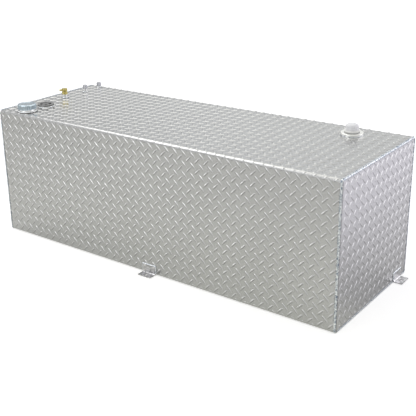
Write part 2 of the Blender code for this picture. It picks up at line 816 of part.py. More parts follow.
def build_vent_lid():
    """A disc pressed into the barrel's mouth; the spring bears on its underside."""
    rim = vent_levels()[3]
    foot = rim + GAP
    top = foot + VENT_LID_HEIGHT
    spigot = VENT_CHAMBER_RADIUS - GAP
    profile = [
        (0, top),
        (VENT_BARREL_RADIUS - 0.0010, top),
        (VENT_BARREL_RADIUS, top - 0.0008),
        (VENT_BARREL_RADIUS, foot),
        (spigot, foot),
        (spigot, rim - VENT_LID_SPIGOT),
        (0, rim - VENT_LID_SPIGOT),
    ]
    place = (VENT_X, VENT_Y, TANK_HEIGHT)
    turned("vent_lid", profile, "brass", place, MEDIUM_ROUND, bored=False)


def poppet_levels():
    """Heights above the top of the poppet disc's underside and upper face."""
    low = vent_levels()[1] + VENT_SEAT_RISE + GAP
    return low, low + POPPET_DISC


def build_vent_poppet():
    """A disc on the seat, with a guide stem down the port."""
    low, high = poppet_levels()
    radius = VENT_CHAMBER_RADIUS - RUNNING_GAP
    profile = [
        (0, high),
        (radius, high),
        (radius, low),
        (POPPET_STEM_RADIUS, low),
        (POPPET_STEM_RADIUS, low - POPPET_STEM),
        (0, low - POPPET_STEM),
    ]
    place = (VENT_X, VENT_Y, TANK_HEIGHT)
    turned("vent_poppet", profile, "bright_steel", place, MEDIUM_ROUND, bored=False)


def build_vent_spring():
    """A compression spring between the poppet's disc and the lid."""
    low = poppet_levels()[1] + GAP + SPRING_WIRE_RADIUS
    high = vent_levels()[3] - VENT_LID_SPIGOT - GAP - SPRING_WIRE_RADIUS
    count = SPRING_TURNS * POINTS_PER_TURN + 1
    curve = bpy.data.curves.new("vent_spring", "CURVE")
    curve.dimensions = "3D"
    curve.bevel_depth = SPRING_WIRE_RADIUS
    curve.bevel_resolution = 2
    curve.use_fill_caps = True
    spline = curve.splines.new("POLY")
    spline.points.add(count - 1)
    for step, point in enumerate(spline.points):
        angle = math.tau * step / POINTS_PER_TURN
        height = low + (high - low) * step / (count - 1)
        point.co = (SPRING_RADIUS * math.cos(angle), SPRING_RADIUS * math.sin(angle), height, 1)
    add_object("vent_spring", curve, "bright_steel", (VENT_X, VENT_Y, TANK_HEIGHT))


# The two small plugged openings


def build_small_bung(name, x, y, height):
    """A short threaded coupling on a weld ring."""
    profile = [
        (SMALL_BORE_RADIUS + 0.0008, height),
        (SMALL_NECK_RADIUS - 0.0005, height),
        (SMALL_NECK_RADIUS, height - 0.0005),
        (SMALL_NECK_RADIUS, 0.0032),
        (SMALL_RING_RADIUS - 0.0008, 0.0020),
        (SMALL_RING_RADIUS, GAP),
        (SMALL_NECK_RADIUS, GAP),
        (SMALL_NECK_RADIUS, -FITTING_DROP),
        (SMALL_BORE_RADIUS, -FITTING_DROP),
        (SMALL_BORE_RADIUS, height - 0.0008),
    ]
    turned(name, profile, "turned_aluminium", (x, y, TANK_HEIGHT), MEDIUM_ROUND)


def build_small_plug(name, x, y, height):
    """A hexagon-headed pipe plug."""
    place = (x, y, TANK_HEIGHT)
    foot = height + GAP
    head = hexagon(name, SMALL_PLUG_FLATS, foot, foot + SMALL_PLUG_HEAD, place, "bright_steel")
    radius = SMALL_BORE_RADIUS - GAP
    low = foot - SMALL_PLUG_SHANK
    profile = [
        (0, foot + SMALL_PLUG_HEAD / 2),
        (radius, foot + SMALL_PLUG_HEAD / 2),
        (radius, low + 0.0008),
        (radius - 0.0008, low),
        (0, low),
    ]
    join(head, turned(f"join_{name}_shank", profile, None, place, SMALL_ROUND, bored=False))


# The float gauge's fixed pieces


def gauge_levels():
    """Heights above the top: the rim's underside and upper face, the well floor's two faces."""
    foot = GAUGE_RING_HEIGHT + GAUGE_GASKET + 2 * GAP
    rim = foot + GAUGE_RIM_HEIGHT
    floor = rim - GAUGE_WELL_DEPTH
    return foot, rim, floor, floor - GAUGE_WELL_FLOOR


def build_gauge_bung():
    ring, height, bore = GAUGE_RING_RADIUS, GAUGE_RING_HEIGHT, GAUGE_BORE_RADIUS
    profile = [
        (bore + 0.0010, height),
        (ring - 0.0010, height),
        (ring, height - 0.0010),
        (ring, 0.0018),
        (ring + 0.0012, GAP),
        (GAUGE_SKIRT_RADIUS, GAP),
        (GAUGE_SKIRT_RADIUS, -FITTING_DROP),
        (bore, -FITTING_DROP),
        (bore, height - 0.0010),
    ]
    turned("gauge_bung", profile, "turned_aluminium", (GAUGE_X, GAUGE_Y, TANK_HEIGHT))


def build_gauge_gasket():
    low = GAUGE_RING_HEIGHT + GAP
    outer = GAUGE_RIM_FOOT_RADIUS + GAUGE_GASKET
    inner = GAUGE_BORE_RADIUS
    profile = [
        (outer, low + GAUGE_GASKET),
        (outer, low),
        (inner, low),
        (inner, low + GAUGE_GASKET),
    ]
    turned("gauge_gasket", profile, "rubber", (GAUGE_X, GAUGE_Y, TANK_HEIGHT))


def build_gauge_body():
    """A moulded body: flared rim, threaded shank, a well for the disc, a boss for the drop tube."""
    foot, rim, floor, under = gauge_levels()
    shank = GAUGE_BORE_RADIUS - GAP
    guide = ROD_RADIUS + RUNNING_GAP
    socket = TUBE_RADIUS + GAP
    profile = [
        (guide, floor),
        (GAUGE_WELL_RADIUS, floor),
        (GAUGE_WELL_RADIUS, rim),
        (GAUGE_RIM_RADIUS - 0.0004, rim),
        (GAUGE_RIM_RADIUS, rim - 0.0006),
        (GAUGE_RIM_RADIUS, rim - 0.0028),
        (GAUGE_RIM_FOOT_RADIUS, foot),
        (shank, foot),
        (shank, -GAUGE_SHANK_DROP),
        (shank - GAUGE_SHANK_WALL, -GAUGE_SHANK_DROP),
        (shank - GAUGE_SHANK_WALL, under),
        (GAUGE_BOSS_RADIUS, under),
        (GAUGE_BOSS_RADIUS, -GAUGE_SHANK_DROP),
        (socket, -GAUGE_SHANK_DROP),
        (socket, under),
        (guide, under),
    ]
    turned("gauge_body", profile, "white_plastic", (GAUGE_X, GAUGE_Y, TANK_HEIGHT))


def build_gauge_cup():
    """A clear sight cup with moulded ribs, seated on the body's rim round the well."""
    foot = gauge_levels()[1] + GAP
    top = foot + CUP_HEIGHT
    levels = [
        (0.0, 0.0, foot),
        (0.0, 1.0, foot + 0.0010),
        (0.0003, 1.0, top - CUP_CHAMFER),
        (0.0022, 0.8, top - 0.0030),
        (0.0042, 0.4, top - 0.0010),
        (CUP_CHAMFER, 0.0, top),
    ]
    rings = [
        ribbed_ring(CUP_RADIUS - inset, share * CUP_RIB_DEPTH, CUP_RIBS, height)
        for inset, share, height in levels
    ]
    place = (GAUGE_X, GAUGE_Y, TANK_HEIGHT)
    cup = lofted("gauge_cup", rings, "clear_plastic", location=place)
    hollow = CUP_RADIUS - CUP_WALL
    corner = CUP_WALL * math.tan(math.pi / 8)
    hollow_profile = [
        (0, top - CUP_WALL),
        (CUP_RADIUS - CUP_CHAMFER - corner, top - CUP_WALL),
        (hollow, top - CUP_CHAMFER - corner),
        (hollow, -CUTTER_REACH),
        (0, -CUTTER_REACH),
    ]
    cut(cup, turned("cut_cup", hollow_profile, None, place, MEDIUM_ROUND, bored=False))


def pivot_place():
    return Vector((GAUGE_X + PIVOT_OFFSET, GAUGE_Y, PIVOT_HEIGHT))


def build_gauge_drop_tube():
    """The tube from the body's boss down through the bracket's web."""
    top = TANK_HEIGHT + gauge_levels()[3] - GAP
    low = PIVOT_HEIGHT + BRACKET_ABOVE_PIVOT - BRACKET_SHEET
    profile = [
        (TUBE_RADIUS, top),
        (TUBE_RADIUS, low),
        (TUBE_BORE_RADIUS, low),
        (TUBE_BORE_RADIUS, top),
    ]
    turned("gauge_drop_tube", profile, "turned_aluminium", (GAUGE_X, GAUGE_Y, 0), MEDIUM_ROUND)


def build_gauge_bracket():
    """A folded channel, web up: the tube is fixed in its web and the pivot pin in its cheeks."""
    width = BRACKET_HALF_WIDTH
    section = [
        (-width, -BRACKET_BELOW_PIVOT),
        (-width, BRACKET_ABOVE_PIVOT),
        (width, BRACKET_ABOVE_PIVOT),
        (width, -BRACKET_BELOW_PIVOT),
    ]

    def build(work):
        back, front = (
            [work.verts.new((x, y, z)) for y, z in section] for x in (BRACKET_BACK_X, BRACKET_FRONT_X)
        )
        for one in range(3):
            two = one + 1
            work.faces.new((back[one], front[one], front[two], back[two]))

    place = (GAUGE_X, GAUGE_Y, PIVOT_HEIGHT)
    bracket = add_object("gauge_bracket", mesh_from("gauge_bracket", build), "bright_steel", place)
    fold = bracket.modifiers.new("fold", "BEVEL")
    fold.width = BRACKET_SHEET * 1.5
    fold.segments = 3
    fold.limit_method = "ANGLE"
    wall = bracket.modifiers.new("wall", "SOLIDIFY")
    wall.thickness = BRACKET_SHEET
    wall.offset = -1
    wall.use_even_offset = True
    radius = TUBE_RADIUS + GAP
    tube_hole = cylinder("cut_bracket_tube", radius, 0, CUTTER_REACH, place, segments=MEDIUM_ROUND)
    radius = PIVOT_PIN_RADIUS + GAP
    reach = CUTTER_REACH
    pin_hole = cylinder("cut_bracket_pin", radius, -reach, reach, pivot_place(), "Y")
    cut(bracket, tube_hole, pin_hole)


def build_gauge_pivot_pin():
    """A rivet through both cheeks and the arm's sleeve, headed at both ends."""
    half = BRACKET_HALF_WIDTH + GAP
    end = half + PIVOT_HEAD
    profile = [
        (0, end),
        (PIVOT_HEAD_RADIUS, end),
        (PIVOT_HEAD_RADIUS, half),
        (PIVOT_PIN_RADIUS, half),
        (PIVOT_PIN_RADIUS, -half),
        (PIVOT_HEAD_RADIUS, -half),
        (PIVOT_HEAD_RADIUS, -end),
        (0, -end),
    ]
    pin = turned("gauge_pivot_pin", profile, "bright_steel", pivot_place(), SMALL_ROUND, bored=False)
    pin.rotation_euler = (-math.pi / 2, 0, 0)


# The float gauge's moving pieces


def build_gauge_arm():
    """The float's wire, its crank plate and pin, and the sleeve that turns on the pivot pin.

    It is drawn level, reaching to -X from the pivot, and turned down to its rest angle.
    """
    face = BRACKET_HALF_WIDTH - BRACKET_SHEET - GAP
    place = pivot_place()
    arm = cylinder("gauge_arm", SLEEVE_RADIUS, -face, face, place, "Y", finish="bright_steel")
    near, far = SLEEVE_RADIUS * 0.7, -CRANK_RADIUS - CRANK_HALF_HEIGHT
    outline = rounded_rectangle(near - far, 2 * CRANK_HALF_HEIGHT, CRANK_HALF_HEIGHT * 0.9)
    middle = (near + far) / 2
    sides = (ARM_PLANE_Y - ARM_PLATE / 2, ARM_PLANE_Y + ARM_PLATE / 2)
    rings = [[(middle + point.x, y, point.y) for point in outline] for y in sides]
    plate = lofted("join_arm_plate", rings, None, location=place)
    crank = place + Vector((-CRANK_RADIUS, 0, 0))
    pin = cylinder("join_arm_pin", CRANK_PIN_RADIUS, ARM_PLANE_Y, CRANK_PIN_END_Y, crank, "Y")
    wire_end = FLOAT_REACH + FLOAT_LENGTH / 2 + GAP + CLIP_THICKNESS + WIRE_END
    wire_place = place + Vector((0, ARM_PLANE_Y, 0))
    wire = cylinder("join_arm_wire", ARM_WIRE_RADIUS, -wire_end, -CRANK_RADIUS, wire_place, "X", 12)
    radius = PIVOT_PIN_RADIUS + GAP
    bore = cylinder("cut_arm_bore", radius, -CUTTER_REACH, CUTTER_REACH, place, "Y")
    join(arm, plate, pin, wire)
    cut(arm, bore)
    turn_down = Matrix.Rotation(FLOAT_REST, 4, "Y")
    about_pivot = Matrix.Translation(place) @ turn_down @ Matrix.Translation(-place)
    for piece in (arm, plate, pin, wire, bore):
        piece.matrix_world = about_pivot @ Matrix.Translation(piece.location)


def along_arm(name, profile, finish, segments):
    """A piece turned about the arm's wire, its heights measured out from the pivot."""
    place = pivot_place() + Vector((0, ARM_PLANE_Y, 0))
    piece = turned(name, profile, finish, place, segments)
    piece.rotation_euler = (0, FLOAT_REST - math.pi / 2, 0)


def build_gauge_float():
    low, high = FLOAT_REACH - FLOAT_LENGTH / 2, FLOAT_REACH + FLOAT_LENGTH / 2
    bore = ARM_WIRE_RADIUS + GAP
    soft = FLOAT_EDGE * (1 - math.sqrt(0.5))
    profile = [
        (bore, high),
        (FLOAT_RADIUS - FLOAT_EDGE, high),
        (FLOAT_RADIUS - soft, high - soft),
        (FLOAT_RADIUS, high - FLOAT_EDGE),
        (FLOAT_RADIUS, low + FLOAT_EDGE),
        (FLOAT_RADIUS - soft, low + soft),
        (FLOAT_RADIUS - FLOAT_EDGE, low),
        (bore, low),
    ]
    along_arm("gauge_float", profile, "float_foam", MEDIUM_ROUND)


def build_float_clip(name, side):
    """A push-on retainer that keeps the float on its wire."""
    face = FLOAT_REACH + side * (FLOAT_LENGTH / 2 + GAP)
    low, high = sorted((face, face + side * CLIP_THICKNESS))
    bore = ARM_WIRE_RADIUS + GAP
    profile = [(bore, high), (CLIP_RADIUS, high), (CLIP_RADIUS, low), (bore, low)]
    along_arm(name, profile, "bright_steel", SMALL_ROUND)


def disc_levels():
    """Heights above the tank's underside of the disc's two faces when the gauge is empty."""
    low = TANK_HEIGHT + gauge_levels()[2] + GAP
    return low, low + DISC_THICKNESS


def build_gauge_rod():
    """The indicator rod, with a yoke at its foot whose level slot takes the crank pin."""
    swing = max(CRANK_RADIUS - PIVOT_OFFSET, PIVOT_OFFSET - CRANK_RADIUS * math.cos(FLOAT_REST))
    slot_x = swing + CRANK_PIN_RADIUS + YOKE_SIDE_PLAY
    slot_z = CRANK_PIN_RADIUS + YOKE_RISE_PLAY
    width, height = slot_x + YOKE_WALL, slot_z + YOKE_WALL
    half = YOKE_THICKNESS / 2
    place = Vector((GAUGE_X, GAUGE_Y, PIVOT_HEIGHT + CRANK_RADIUS * math.sin(FLOAT_REST)))
    foot = slot_z + YOKE_WALL / 2
    rod_top = disc_levels()[1] - place.z
    rod = cylinder("gauge_rod", ROD_RADIUS, foot, rod_top, place, finish="bright_steel")
    yoke = block("join_yoke", (-width, -half, -height), (width, half, height), place)
    outline = rounded_rectangle(2 * slot_x, 2 * slot_z, slot_z * 0.9)
    rings = [[(point.x, y, point.y) for point in outline] for y in (-CUTTER_REACH, CUTTER_REACH)]
    join(rod, yoke)
    cut(rod, lofted("cut_yoke_slot", rings, None, location=place))


def build_gauge_disc():
    low, high = disc_levels()
    bore = ROD_RADIUS + GAP
    profile = [
        (bore, high),
        (DISC_RADIUS - 0.0005, high),
        (DISC_RADIUS, high - 0.0005),
        (DISC_RADIUS, low),
        (bore, low),
    ]
    turned("gauge_disc", profile, "red_plastic", (GAUGE_X, GAUGE_Y, 0), MEDIUM_ROUND)


clear_scene()
parts = make_collection("transfer_tank")
cutters = make_collection("cutters")

build_wrap()
for side_name, direction in (("left", -1), ("right", 1)):
    build_end_plate(f"end_plate_{side_name}", direction)
    build_end_weld(f"end_weld_{side_name}", direction)
    build_baffle(f"baffle_{side_name}", direction * BAFFLE_X, -direction)
for tab_name, (tab_place, tab_turn) in tab_places().items():
    build_tab(tab_name, tab_place, tab_turn)
    build_tab_weld(f"{tab_name}_weld", tab_place, tab_turn)
build_filler_neck()
build_filler_cap()
build_filler_cap_gasket()
build_pump_bung()
build_pump_plug()
build_pump_plug_gasket()
build_vent_bung()
build_vent_body()
build_vent_outlet()
build_vent_lid()
build_vent_poppet()
build_vent_spring()
for opening, opening_x, opening_y, neck_height in (
    ("supply", SUPPLY_X, SUPPLY_Y, SUPPLY_NECK_HEIGHT),
    ("return", RETURN_X, RETURN_Y, RETURN_NECK_HEIGHT),
):
    build_small_bung(f"{opening}_bung", opening_x, opening_y, neck_height)
    build_small_plug(f"{opening}_plug", opening_x, opening_y, neck_height)
build_gauge_bung()
build_gauge_gasket()
build_gauge_body()
build_gauge_cup()
build_gauge_drop_tube()
build_gauge_bracket()
build_gauge_pivot_pin()
build_gauge_arm()
build_gauge_float()
build_float_clip("float_clip_inner", -1)
build_float_clip("float_clip_outer", 1)
build_gauge_rod()
build_gauge_disc()
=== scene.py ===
"""Truck bed transfer tank, dressed: raised tread, weld beads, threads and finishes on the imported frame.

Metres, +Z up. The origin is the middle of the tank's underside, -Y is the long front face and the
filler end is at -X.
"""

import math

import bmesh
import bpy
import numpy as np
from mathutils import Matrix, Vector


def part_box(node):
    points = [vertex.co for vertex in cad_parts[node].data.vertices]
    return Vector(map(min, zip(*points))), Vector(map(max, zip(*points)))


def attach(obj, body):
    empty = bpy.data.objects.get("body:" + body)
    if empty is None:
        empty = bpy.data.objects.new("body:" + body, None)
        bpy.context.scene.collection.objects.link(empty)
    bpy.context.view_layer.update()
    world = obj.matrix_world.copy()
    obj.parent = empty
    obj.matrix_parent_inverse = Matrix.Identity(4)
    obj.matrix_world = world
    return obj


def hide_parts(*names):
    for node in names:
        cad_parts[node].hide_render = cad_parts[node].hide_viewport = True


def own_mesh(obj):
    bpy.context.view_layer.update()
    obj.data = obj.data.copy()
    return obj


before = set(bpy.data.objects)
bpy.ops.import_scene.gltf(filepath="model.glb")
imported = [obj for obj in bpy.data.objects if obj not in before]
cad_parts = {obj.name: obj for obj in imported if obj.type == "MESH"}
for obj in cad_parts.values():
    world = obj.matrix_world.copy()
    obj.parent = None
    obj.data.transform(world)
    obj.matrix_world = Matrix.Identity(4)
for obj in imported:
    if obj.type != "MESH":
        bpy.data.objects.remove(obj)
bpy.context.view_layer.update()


# The tread sheet: one aluminium sheet folded round front, top, back and bottom, and two flat ends.
# Its lozenges are rolled into the sheet in mill-bright metal, each turned across its neighbours,
# and they run over the folds and under the weld beads.


class Shade:
    """A socket of a material's node tree. Arithmetic on it adds a Math node; node() adds any other."""

    def __init__(self, tree, socket=None):
        self.tree = tree
        self.socket = socket

    def node(self, kind, settings=None, inputs=None, output=0):
        """A node of that type, with its settings made first and its sockets linked or set."""
        made = self.tree.nodes.new(kind)
        for name, value in (settings or {}).items():
            setattr(made, name, value)
        for key, value in (inputs or {}).items():
            if isinstance(value, Shade):
                self.tree.links.new(value.socket, made.inputs[key])
            else:
                made.inputs[key].default_value = value
        return Shade(self.tree, made.outputs[output])

    def math(self, operation, one, two=0.0, clamp=False):
        """A Math node on one or two numbers."""
        return self.node("ShaderNodeMath", {"operation": operation, "use_clamp": clamp}, {0: one, 1: two})

    def axis(self, number):
        """One coordinate of a vector: 0 for X, 1 for Y and 2 for Z."""
        return self.node("ShaderNodeSeparateXYZ", {}, {0: self}, output=number)

    def painted(self, name):
        """The number that the mesh's points carry under that name."""
        return self.node("ShaderNodeAttribute", {"attribute_name": name}, output=2)

    def __add__(self, other):
        return self.math("ADD", self, other)

    def __radd__(self, other):
        return self.math("ADD", other, self)

    def __sub__(self, other):
        return self.math("SUBTRACT", self, other)

    def __rsub__(self, other):
        return self.math("SUBTRACT", other, self)

    def __mul__(self, other):
        return self.math("MULTIPLY", self, other)

    def __rmul__(self, other):
        return self.math("MULTIPLY", other, self)

    def clamped(self):
        """This number, held between 0 and 1."""
        return self.math("ADD", self, 0.0, clamp=True)

    def blend(self, low, high):
        """Low where this is 0 and high where it is 1, as colours."""
        settings = {"data_type": "RGBA", "clamp_factor": True}
        return self.node("ShaderNodeMix", settings, {0: self, 6: low, 7: high}, output=2)


def finish(name, constants, build):
    """A Principled material. Build takes the object position and returns the inputs that vary."""
    material = bpy.data.materials.new(name)
    material.use_nodes = True
    tree = material.node_tree
    shader = tree.nodes["Principled BSDF"]
    for key, value in constants.items():
        shader.inputs[key].default_value = value
    place = Shade(tree).node("ShaderNodeTexCoord", output=3)
    for key, value in build(place).items():
        tree.links.new(value.socket, shader.inputs[key])
    return material


def grain(place, scale, detail=2.0, stretch=(1, 1, 1)):
    """Noise about 0 to 1 over object space, drawn out along the axes where stretch is small."""
    settings = {"operation": "MULTIPLY"}
    drawn = place.node("ShaderNodeVectorMath", settings, {0: place, 1: stretch})
    return place.node("ShaderNodeTexNoise", {}, {"Vector": drawn, "Scale": scale, "Detail": detail})


def relief(height, strength, distance):
    """The surface's direction over bumps of that height, for the Normal socket."""
    return height.node("ShaderNodeBump", {}, {"Strength": strength, "Distance": distance, "Height": height})


def tint(level, cast=(1.0, 1.0, 1.0)):
    """A grey of that level, times a cast of red, green and blue."""
    return (level * cast[0], level * cast[1], level * cast[2], 1.0)


TREAD_PITCH = (0.0344, 0.0356)
LOZENGE_LENGTH = 0.0312
LOZENGE_WIDTH = 0.0070
LOZENGE_RISE = 0.0014
LOZENGE_SUNK = 0.0002
UNDERSIDE = 0.001


def lozenge_family(x, y, lean, shift):
    """Height 0 to 1 of one lozenge in each cell of the pattern, moved by a share of the pitch.

    It is 1 less the fourth power of the way along and less the square of the way across. 20 whole
    cells keep the count positive, and half a cell puts a lozenge's middle at the origin.
    """
    length = math.hypot(*TREAD_PITCH)
    cosine, sine = TREAD_PITCH[0] / length, TREAD_PITCH[1] / length
    u, v = (value * (1 / pitch) + (20.5 + shift) for value, pitch in zip((x, y), TREAD_PITCH))
    u, v = ((cell.math("FRACT", cell) - 0.5) * pitch for cell, pitch in zip((u, v), TREAD_PITCH))
    along = (u * cosine + v * (lean * sine)) * (2 / LOZENGE_LENGTH)
    across = (u * (-lean * sine) + v * cosine) * (2 / LOZENGE_WIDTH)
    far = along * along
    return (1.0 - far * far - across * across).clamped()


def lozenge_waves(place):
    """Both families together over X and Y, on the flat underside alone."""
    x, y, z = (place.axis(number) for number in range(3))
    height = lozenge_family(x, y, 1.0, 0.0) + lozenge_family(x, y, -1.0, 0.5)
    return height * z.math("LESS_THAN", z, UNDERSIDE)


def sheet_finish(place):
    """Rolled sheet: faint rolling streaks along X, cloudy handling marks and a mottled grain."""
    cloud = grain(place, 5.0, 3.0)
    streak = grain(place, 1.0, 3.0, (3.0, 160.0, 160.0))
    mottle = grain(place, 240.0, 3.0)
    fine = grain(place, 900.0, 2.0)
    tone = (0.3 * cloud + 0.25 * streak + 2.0 * mottle - 0.78).clamped()
    return {
        "Base Color": tone.blend(tint(0.43), tint(0.575)),
        "Roughness": 0.15 + 0.10 * cloud + 0.08 * mottle,
        "Normal": relief(fine * 0.1 + streak * 0.2 + mottle * 0.25 + lozenge_waves(place), 0.3, 0.001),
    }


def crest_finish(place):
    """The raised lozenges: burnished crests, with painted shade on the foot and the flank facing down."""
    crest, down = place.painted("crest"), place.painted("down")
    cloud = grain(place, 5.0, 3.0)
    worn = grain(place, 320.0, 2.0)
    # Painted shade: darker towards each lozenge's foot and on its flank that faces the floor, mottled by
    # wear.
    painted_shade_and_wear = (2.0 * down + (0.75 - crest) * 0.35 + 0.35 * worn - 0.3).clamped()
    return {
        "Base Color": painted_shade_and_wear.blend(tint(0.53), tint(0.27)),
        "Roughness": 0.26 - 0.10 * crest + 0.08 * cloud,
        "Normal": relief(worn, 0.15, 0.0002),
    }


sheet_metal = finish("rolled_sheet", {"Metallic": 1.0}, sheet_finish)
crest_metal = finish("raised_tread", {"Metallic": 1.0}, crest_finish)

STATIONS = np.array([-0.88, -0.60, 0.0, 0.60, 0.88])
ACROSS = np.array([-1.0, -0.52, 0.0, 0.52, 1.0])
ACROSS_RISE = np.array([0.0, 0.82, 1.0, 0.82, 0.0])
SHORTEST = 0.004


def lozenge_faces():
    """Quads over the dome and under it, and triangles at both tips, for one lozenge of 27 points."""
    rows, columns = len(STATIONS), len(ACROSS)
    index = np.arange(rows * columns).reshape(rows, columns)
    near, far = rows * columns, rows * columns + 1
    over = np.stack([index[:-1, :-1], index[1:, :-1], index[1:, 1:], index[:-1, 1:]], -1).reshape(-1, 4)
    under = np.stack([index[:-1, 0], index[:-1, -1], index[1:, -1], index[1:, 0]], -1)
    first, last = index[0], index[-1]
    tips = [(near, first[k], first[k + 1]) for k in range(columns - 1)]
    tips += [(far, last[k + 1], last[k]) for k in range(columns - 1)]
    tips += [(near, first[-1], first[0]), (far, last[0], last[-1])]
    return np.vstack([over, under]), np.array(tips)


def lozenges(centres, turns, pitch, allowed, fade, upright):
    """Sheet positions and heights of the domes, as (count, 27) arrays of u, v, rise, crest and down.

    Each lozenge lies along one diagonal of the lattice. Its half width and its height fall off as
    1 less the fifth power of |t|, t being -1 at one tip and 1 at the other. It is cut short where
    allowed says that the sheet is covered, and lowered by fade.
    Down is how far a point lies on the flank that faces the floor; upright says which way v runs.
    """
    length = np.hypot(*pitch)
    along = np.stack([pitch[0] / length * np.ones(len(turns)), turns * pitch[1] / length], -1)
    across = np.stack([-along[:, 1], along[:, 0]], -1)
    probe = np.linspace(-1, 1, 41)
    spots = centres[:, None] + along[:, None] * (probe[:, None] * LOZENGE_LENGTH / 2)
    clear = allowed(spots[..., 0], spots[..., 1])
    ahead = np.where(clear.all(1), probe.size, np.argmin(clear, 1))
    behind = np.where(clear.all(1), probe.size, np.argmin(clear[:, ::-1], 1))
    low = np.where(ahead >= behind, 0, probe.size - behind)
    high = np.where(ahead >= behind, ahead, probe.size) - 1
    kept = (high - low) * LOZENGE_LENGTH / (probe.size - 1) > SHORTEST
    low, high, along, across, centres = (each[kept] for each in (low, high, along, across, centres))
    start, end = probe[low], probe[high]
    t = start[:, None] + (end - start)[:, None] * (STATIONS + 1) / 2
    half = LOZENGE_WIDTH / 2 * (1 - np.abs(t) ** 5)
    body = t[..., None] + 0 * ACROSS
    side = half[..., None] * ACROSS
    crest = (1 - np.abs(t) ** 5)[..., None] * ACROSS_RISE
    down = 0 * t[..., None] - ACROSS
    count = len(t)
    tips = np.zeros((count, 2))
    body = np.concatenate([body.reshape(count, -1), start[:, None], end[:, None]], 1)
    side, crest, down = (np.concatenate([each.reshape(count, -1), tips], 1) for each in (side, crest, down))
    place = (
        centres[:, None]
        + along[:, None] * (body * LOZENGE_LENGTH / 2)[..., None]
        + across[:, None] * side[..., None]
    )
    u, v = place[..., 0], place[..., 1]
    crest = crest * fade(u, v)
    rise = crest * (LOZENGE_RISE + LOZENGE_SUNK) - LOZENGE_SUNK
    return u, v, rise, crest, np.clip(down * upright(v), 0, 1)


def lattice(pitch, phase, low, high):
    """Centres of both families between two corners, with each one's lean: -1 for falling to +u."""
    found, leans = [], []
    first = [math.floor((low[k] - phase[k]) / pitch[k]) for k in (0, 1)]
    last = [(high[k] - phase[k]) / pitch[k] + 1 for k in (0, 1)]
    for lean, shift in ((-1, 0.0), (1, 0.5)):
        counts = [np.arange(first[k], last[k]) + shift for k in (0, 1)]
        u, v = np.meshgrid(*[phase[k] + counts[k] * pitch[k] for k in (0, 1)])
        found.append(np.stack([u.ravel(), v.ravel()], -1))
        leans.append(np.full(u.size, float(lean)))
    return np.vstack(found), np.concatenate(leans)


def mesh_object(name, points, faces, material, attributes=None):
    """A smooth object from a point array, face index arrays and numbers for its points."""
    mesh = bpy.data.meshes.new(name)
    mesh.vertices.add(len(points))
    mesh.vertices.foreach_set("co", np.asarray(points, np.float32).ravel())
    loops = np.concatenate([np.asarray(group).ravel() for group in faces])
    sizes = np.concatenate([np.full(len(group), np.asarray(group).shape[1]) for group in faces])
    mesh.loops.add(len(loops))
    mesh.loops.foreach_set("vertex_index", loops.astype(np.int32))
    mesh.polygons.add(len(sizes))
    starts = np.concatenate([[0], np.cumsum(sizes)[:-1]])
    mesh.polygons.foreach_set("loop_start", starts.astype(np.int32))
    mesh.update(calc_edges=True)
    mesh.validate()
    mesh.shade_smooth()
    for label, values in (attributes or {}).items():
        layer = mesh.attributes.new(label, "FLOAT", "POINT")
        layer.data.foreach_set("value", np.asarray(values, np.float32).ravel())
    mesh.materials.append(material)
    obj = bpy.data.objects.new(name, mesh)
    bpy.context.scene.collection.objects.link(obj)
    return obj


def raised_tread(name, parts, to_space):
    """All lozenges of one sheet as one object; to_space puts sheet positions and rises in space."""
    u, v, rise, crest, down = parts
    count, per = u.shape
    points = to_space(u.ravel(), v.ravel(), rise.ravel())
    quads, tris = lozenge_faces()
    offsets = (np.arange(count) * per)[:, None, None]
    faces = [(quads + offsets).reshape(-1, 4), (tris + offsets).reshape(-1, 3)]
    # Crest and down steer the painted shade of the raised tread's finish.
    obj = mesh_object(name, points, faces, crest_metal, {"crest": crest, "down": down})
    obj.data.set_sharp_from_angle(angle=math.radians(60))
    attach(obj, "tank")


def step_up(value, low, high):
    """0 up to low and 1 from high on, by 3 times the square less twice the cube between them."""
    t = np.clip((value - low) / (high - low), 0, 1)
    return t * t * (3 - 2 * t)


wrap_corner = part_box("tank_wrap")[1]
TANK_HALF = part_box("end_plate_right")[1].x
TANK_DEPTH = 2 * wrap_corner.y
TANK_HEIGHT = wrap_corner.z
BEND = 0.009
BEAD_TOE = 0.007
FLAT = TANK_HEIGHT - 2 * BEND
OVER = TANK_DEPTH - 2 * BEND
ARC = math.pi / 2 * BEND

# Distance round the sheet, from the foot of the front face up, over the top and down the back
ROUND_STOPS = np.cumsum([-ARC, ARC, FLAT, ARC, OVER, ARC, FLAT, ARC])
ROUND_TURN = np.radians([-90, 0, 0, 90, 90, 180, 180, 270])
ROUND_Y = np.array([-1, -1, -1, -1, 1, 1, 1, 1]) * (TANK_DEPTH / 2 - BEND)
ROUND_Z = np.array([0, 0, 1, 1, 1, 1, 0, 0]) * FLAT + BEND


def round_the_sheet(u, v, rise):
    """Position at u along the tank and v round its outline, rise off the outer face."""
    turn = np.interp(v, ROUND_STOPS, ROUND_TURN)
    reach = BEND + rise
    y = np.interp(v, ROUND_STOPS, ROUND_Y) - reach * np.cos(turn)
    z = np.interp(v, ROUND_STOPS, ROUND_Z) + reach * np.sin(turn)
    return np.stack([u, y, z], -1)


def ring_of(node):
    """Centre and radius of a round fitting's foot, from its box."""
    low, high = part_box(node)
    return (low.x + high.x) / 2, (low.y + high.y) / 2, (high.x - low.x) / 2


rings = [ring_of(f"{fitting}_bung") for fitting in ("pump", "vent", "supply", "return", "gauge")]
rings.append(ring_of("filler_neck"))
tab_low, tab_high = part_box("front_tab_weld")

# How far the raised tread runs on under a fitting's ring, under an angle's bead and round the lower folds
UNDER_RING, UNDER_TAB, UNDER_FOLD = 0.0025, 0.0015, 0.0060
WRAP_PHASE = (0.0233, FLAT - 0.0094)
WRAP_END = TANK_HALF - BEAD_TOE + 0.003
ROUND_LOW, ROUND_HIGH = -UNDER_FOLD, 2 * FLAT + OVER + 2 * ARC + UNDER_FOLD


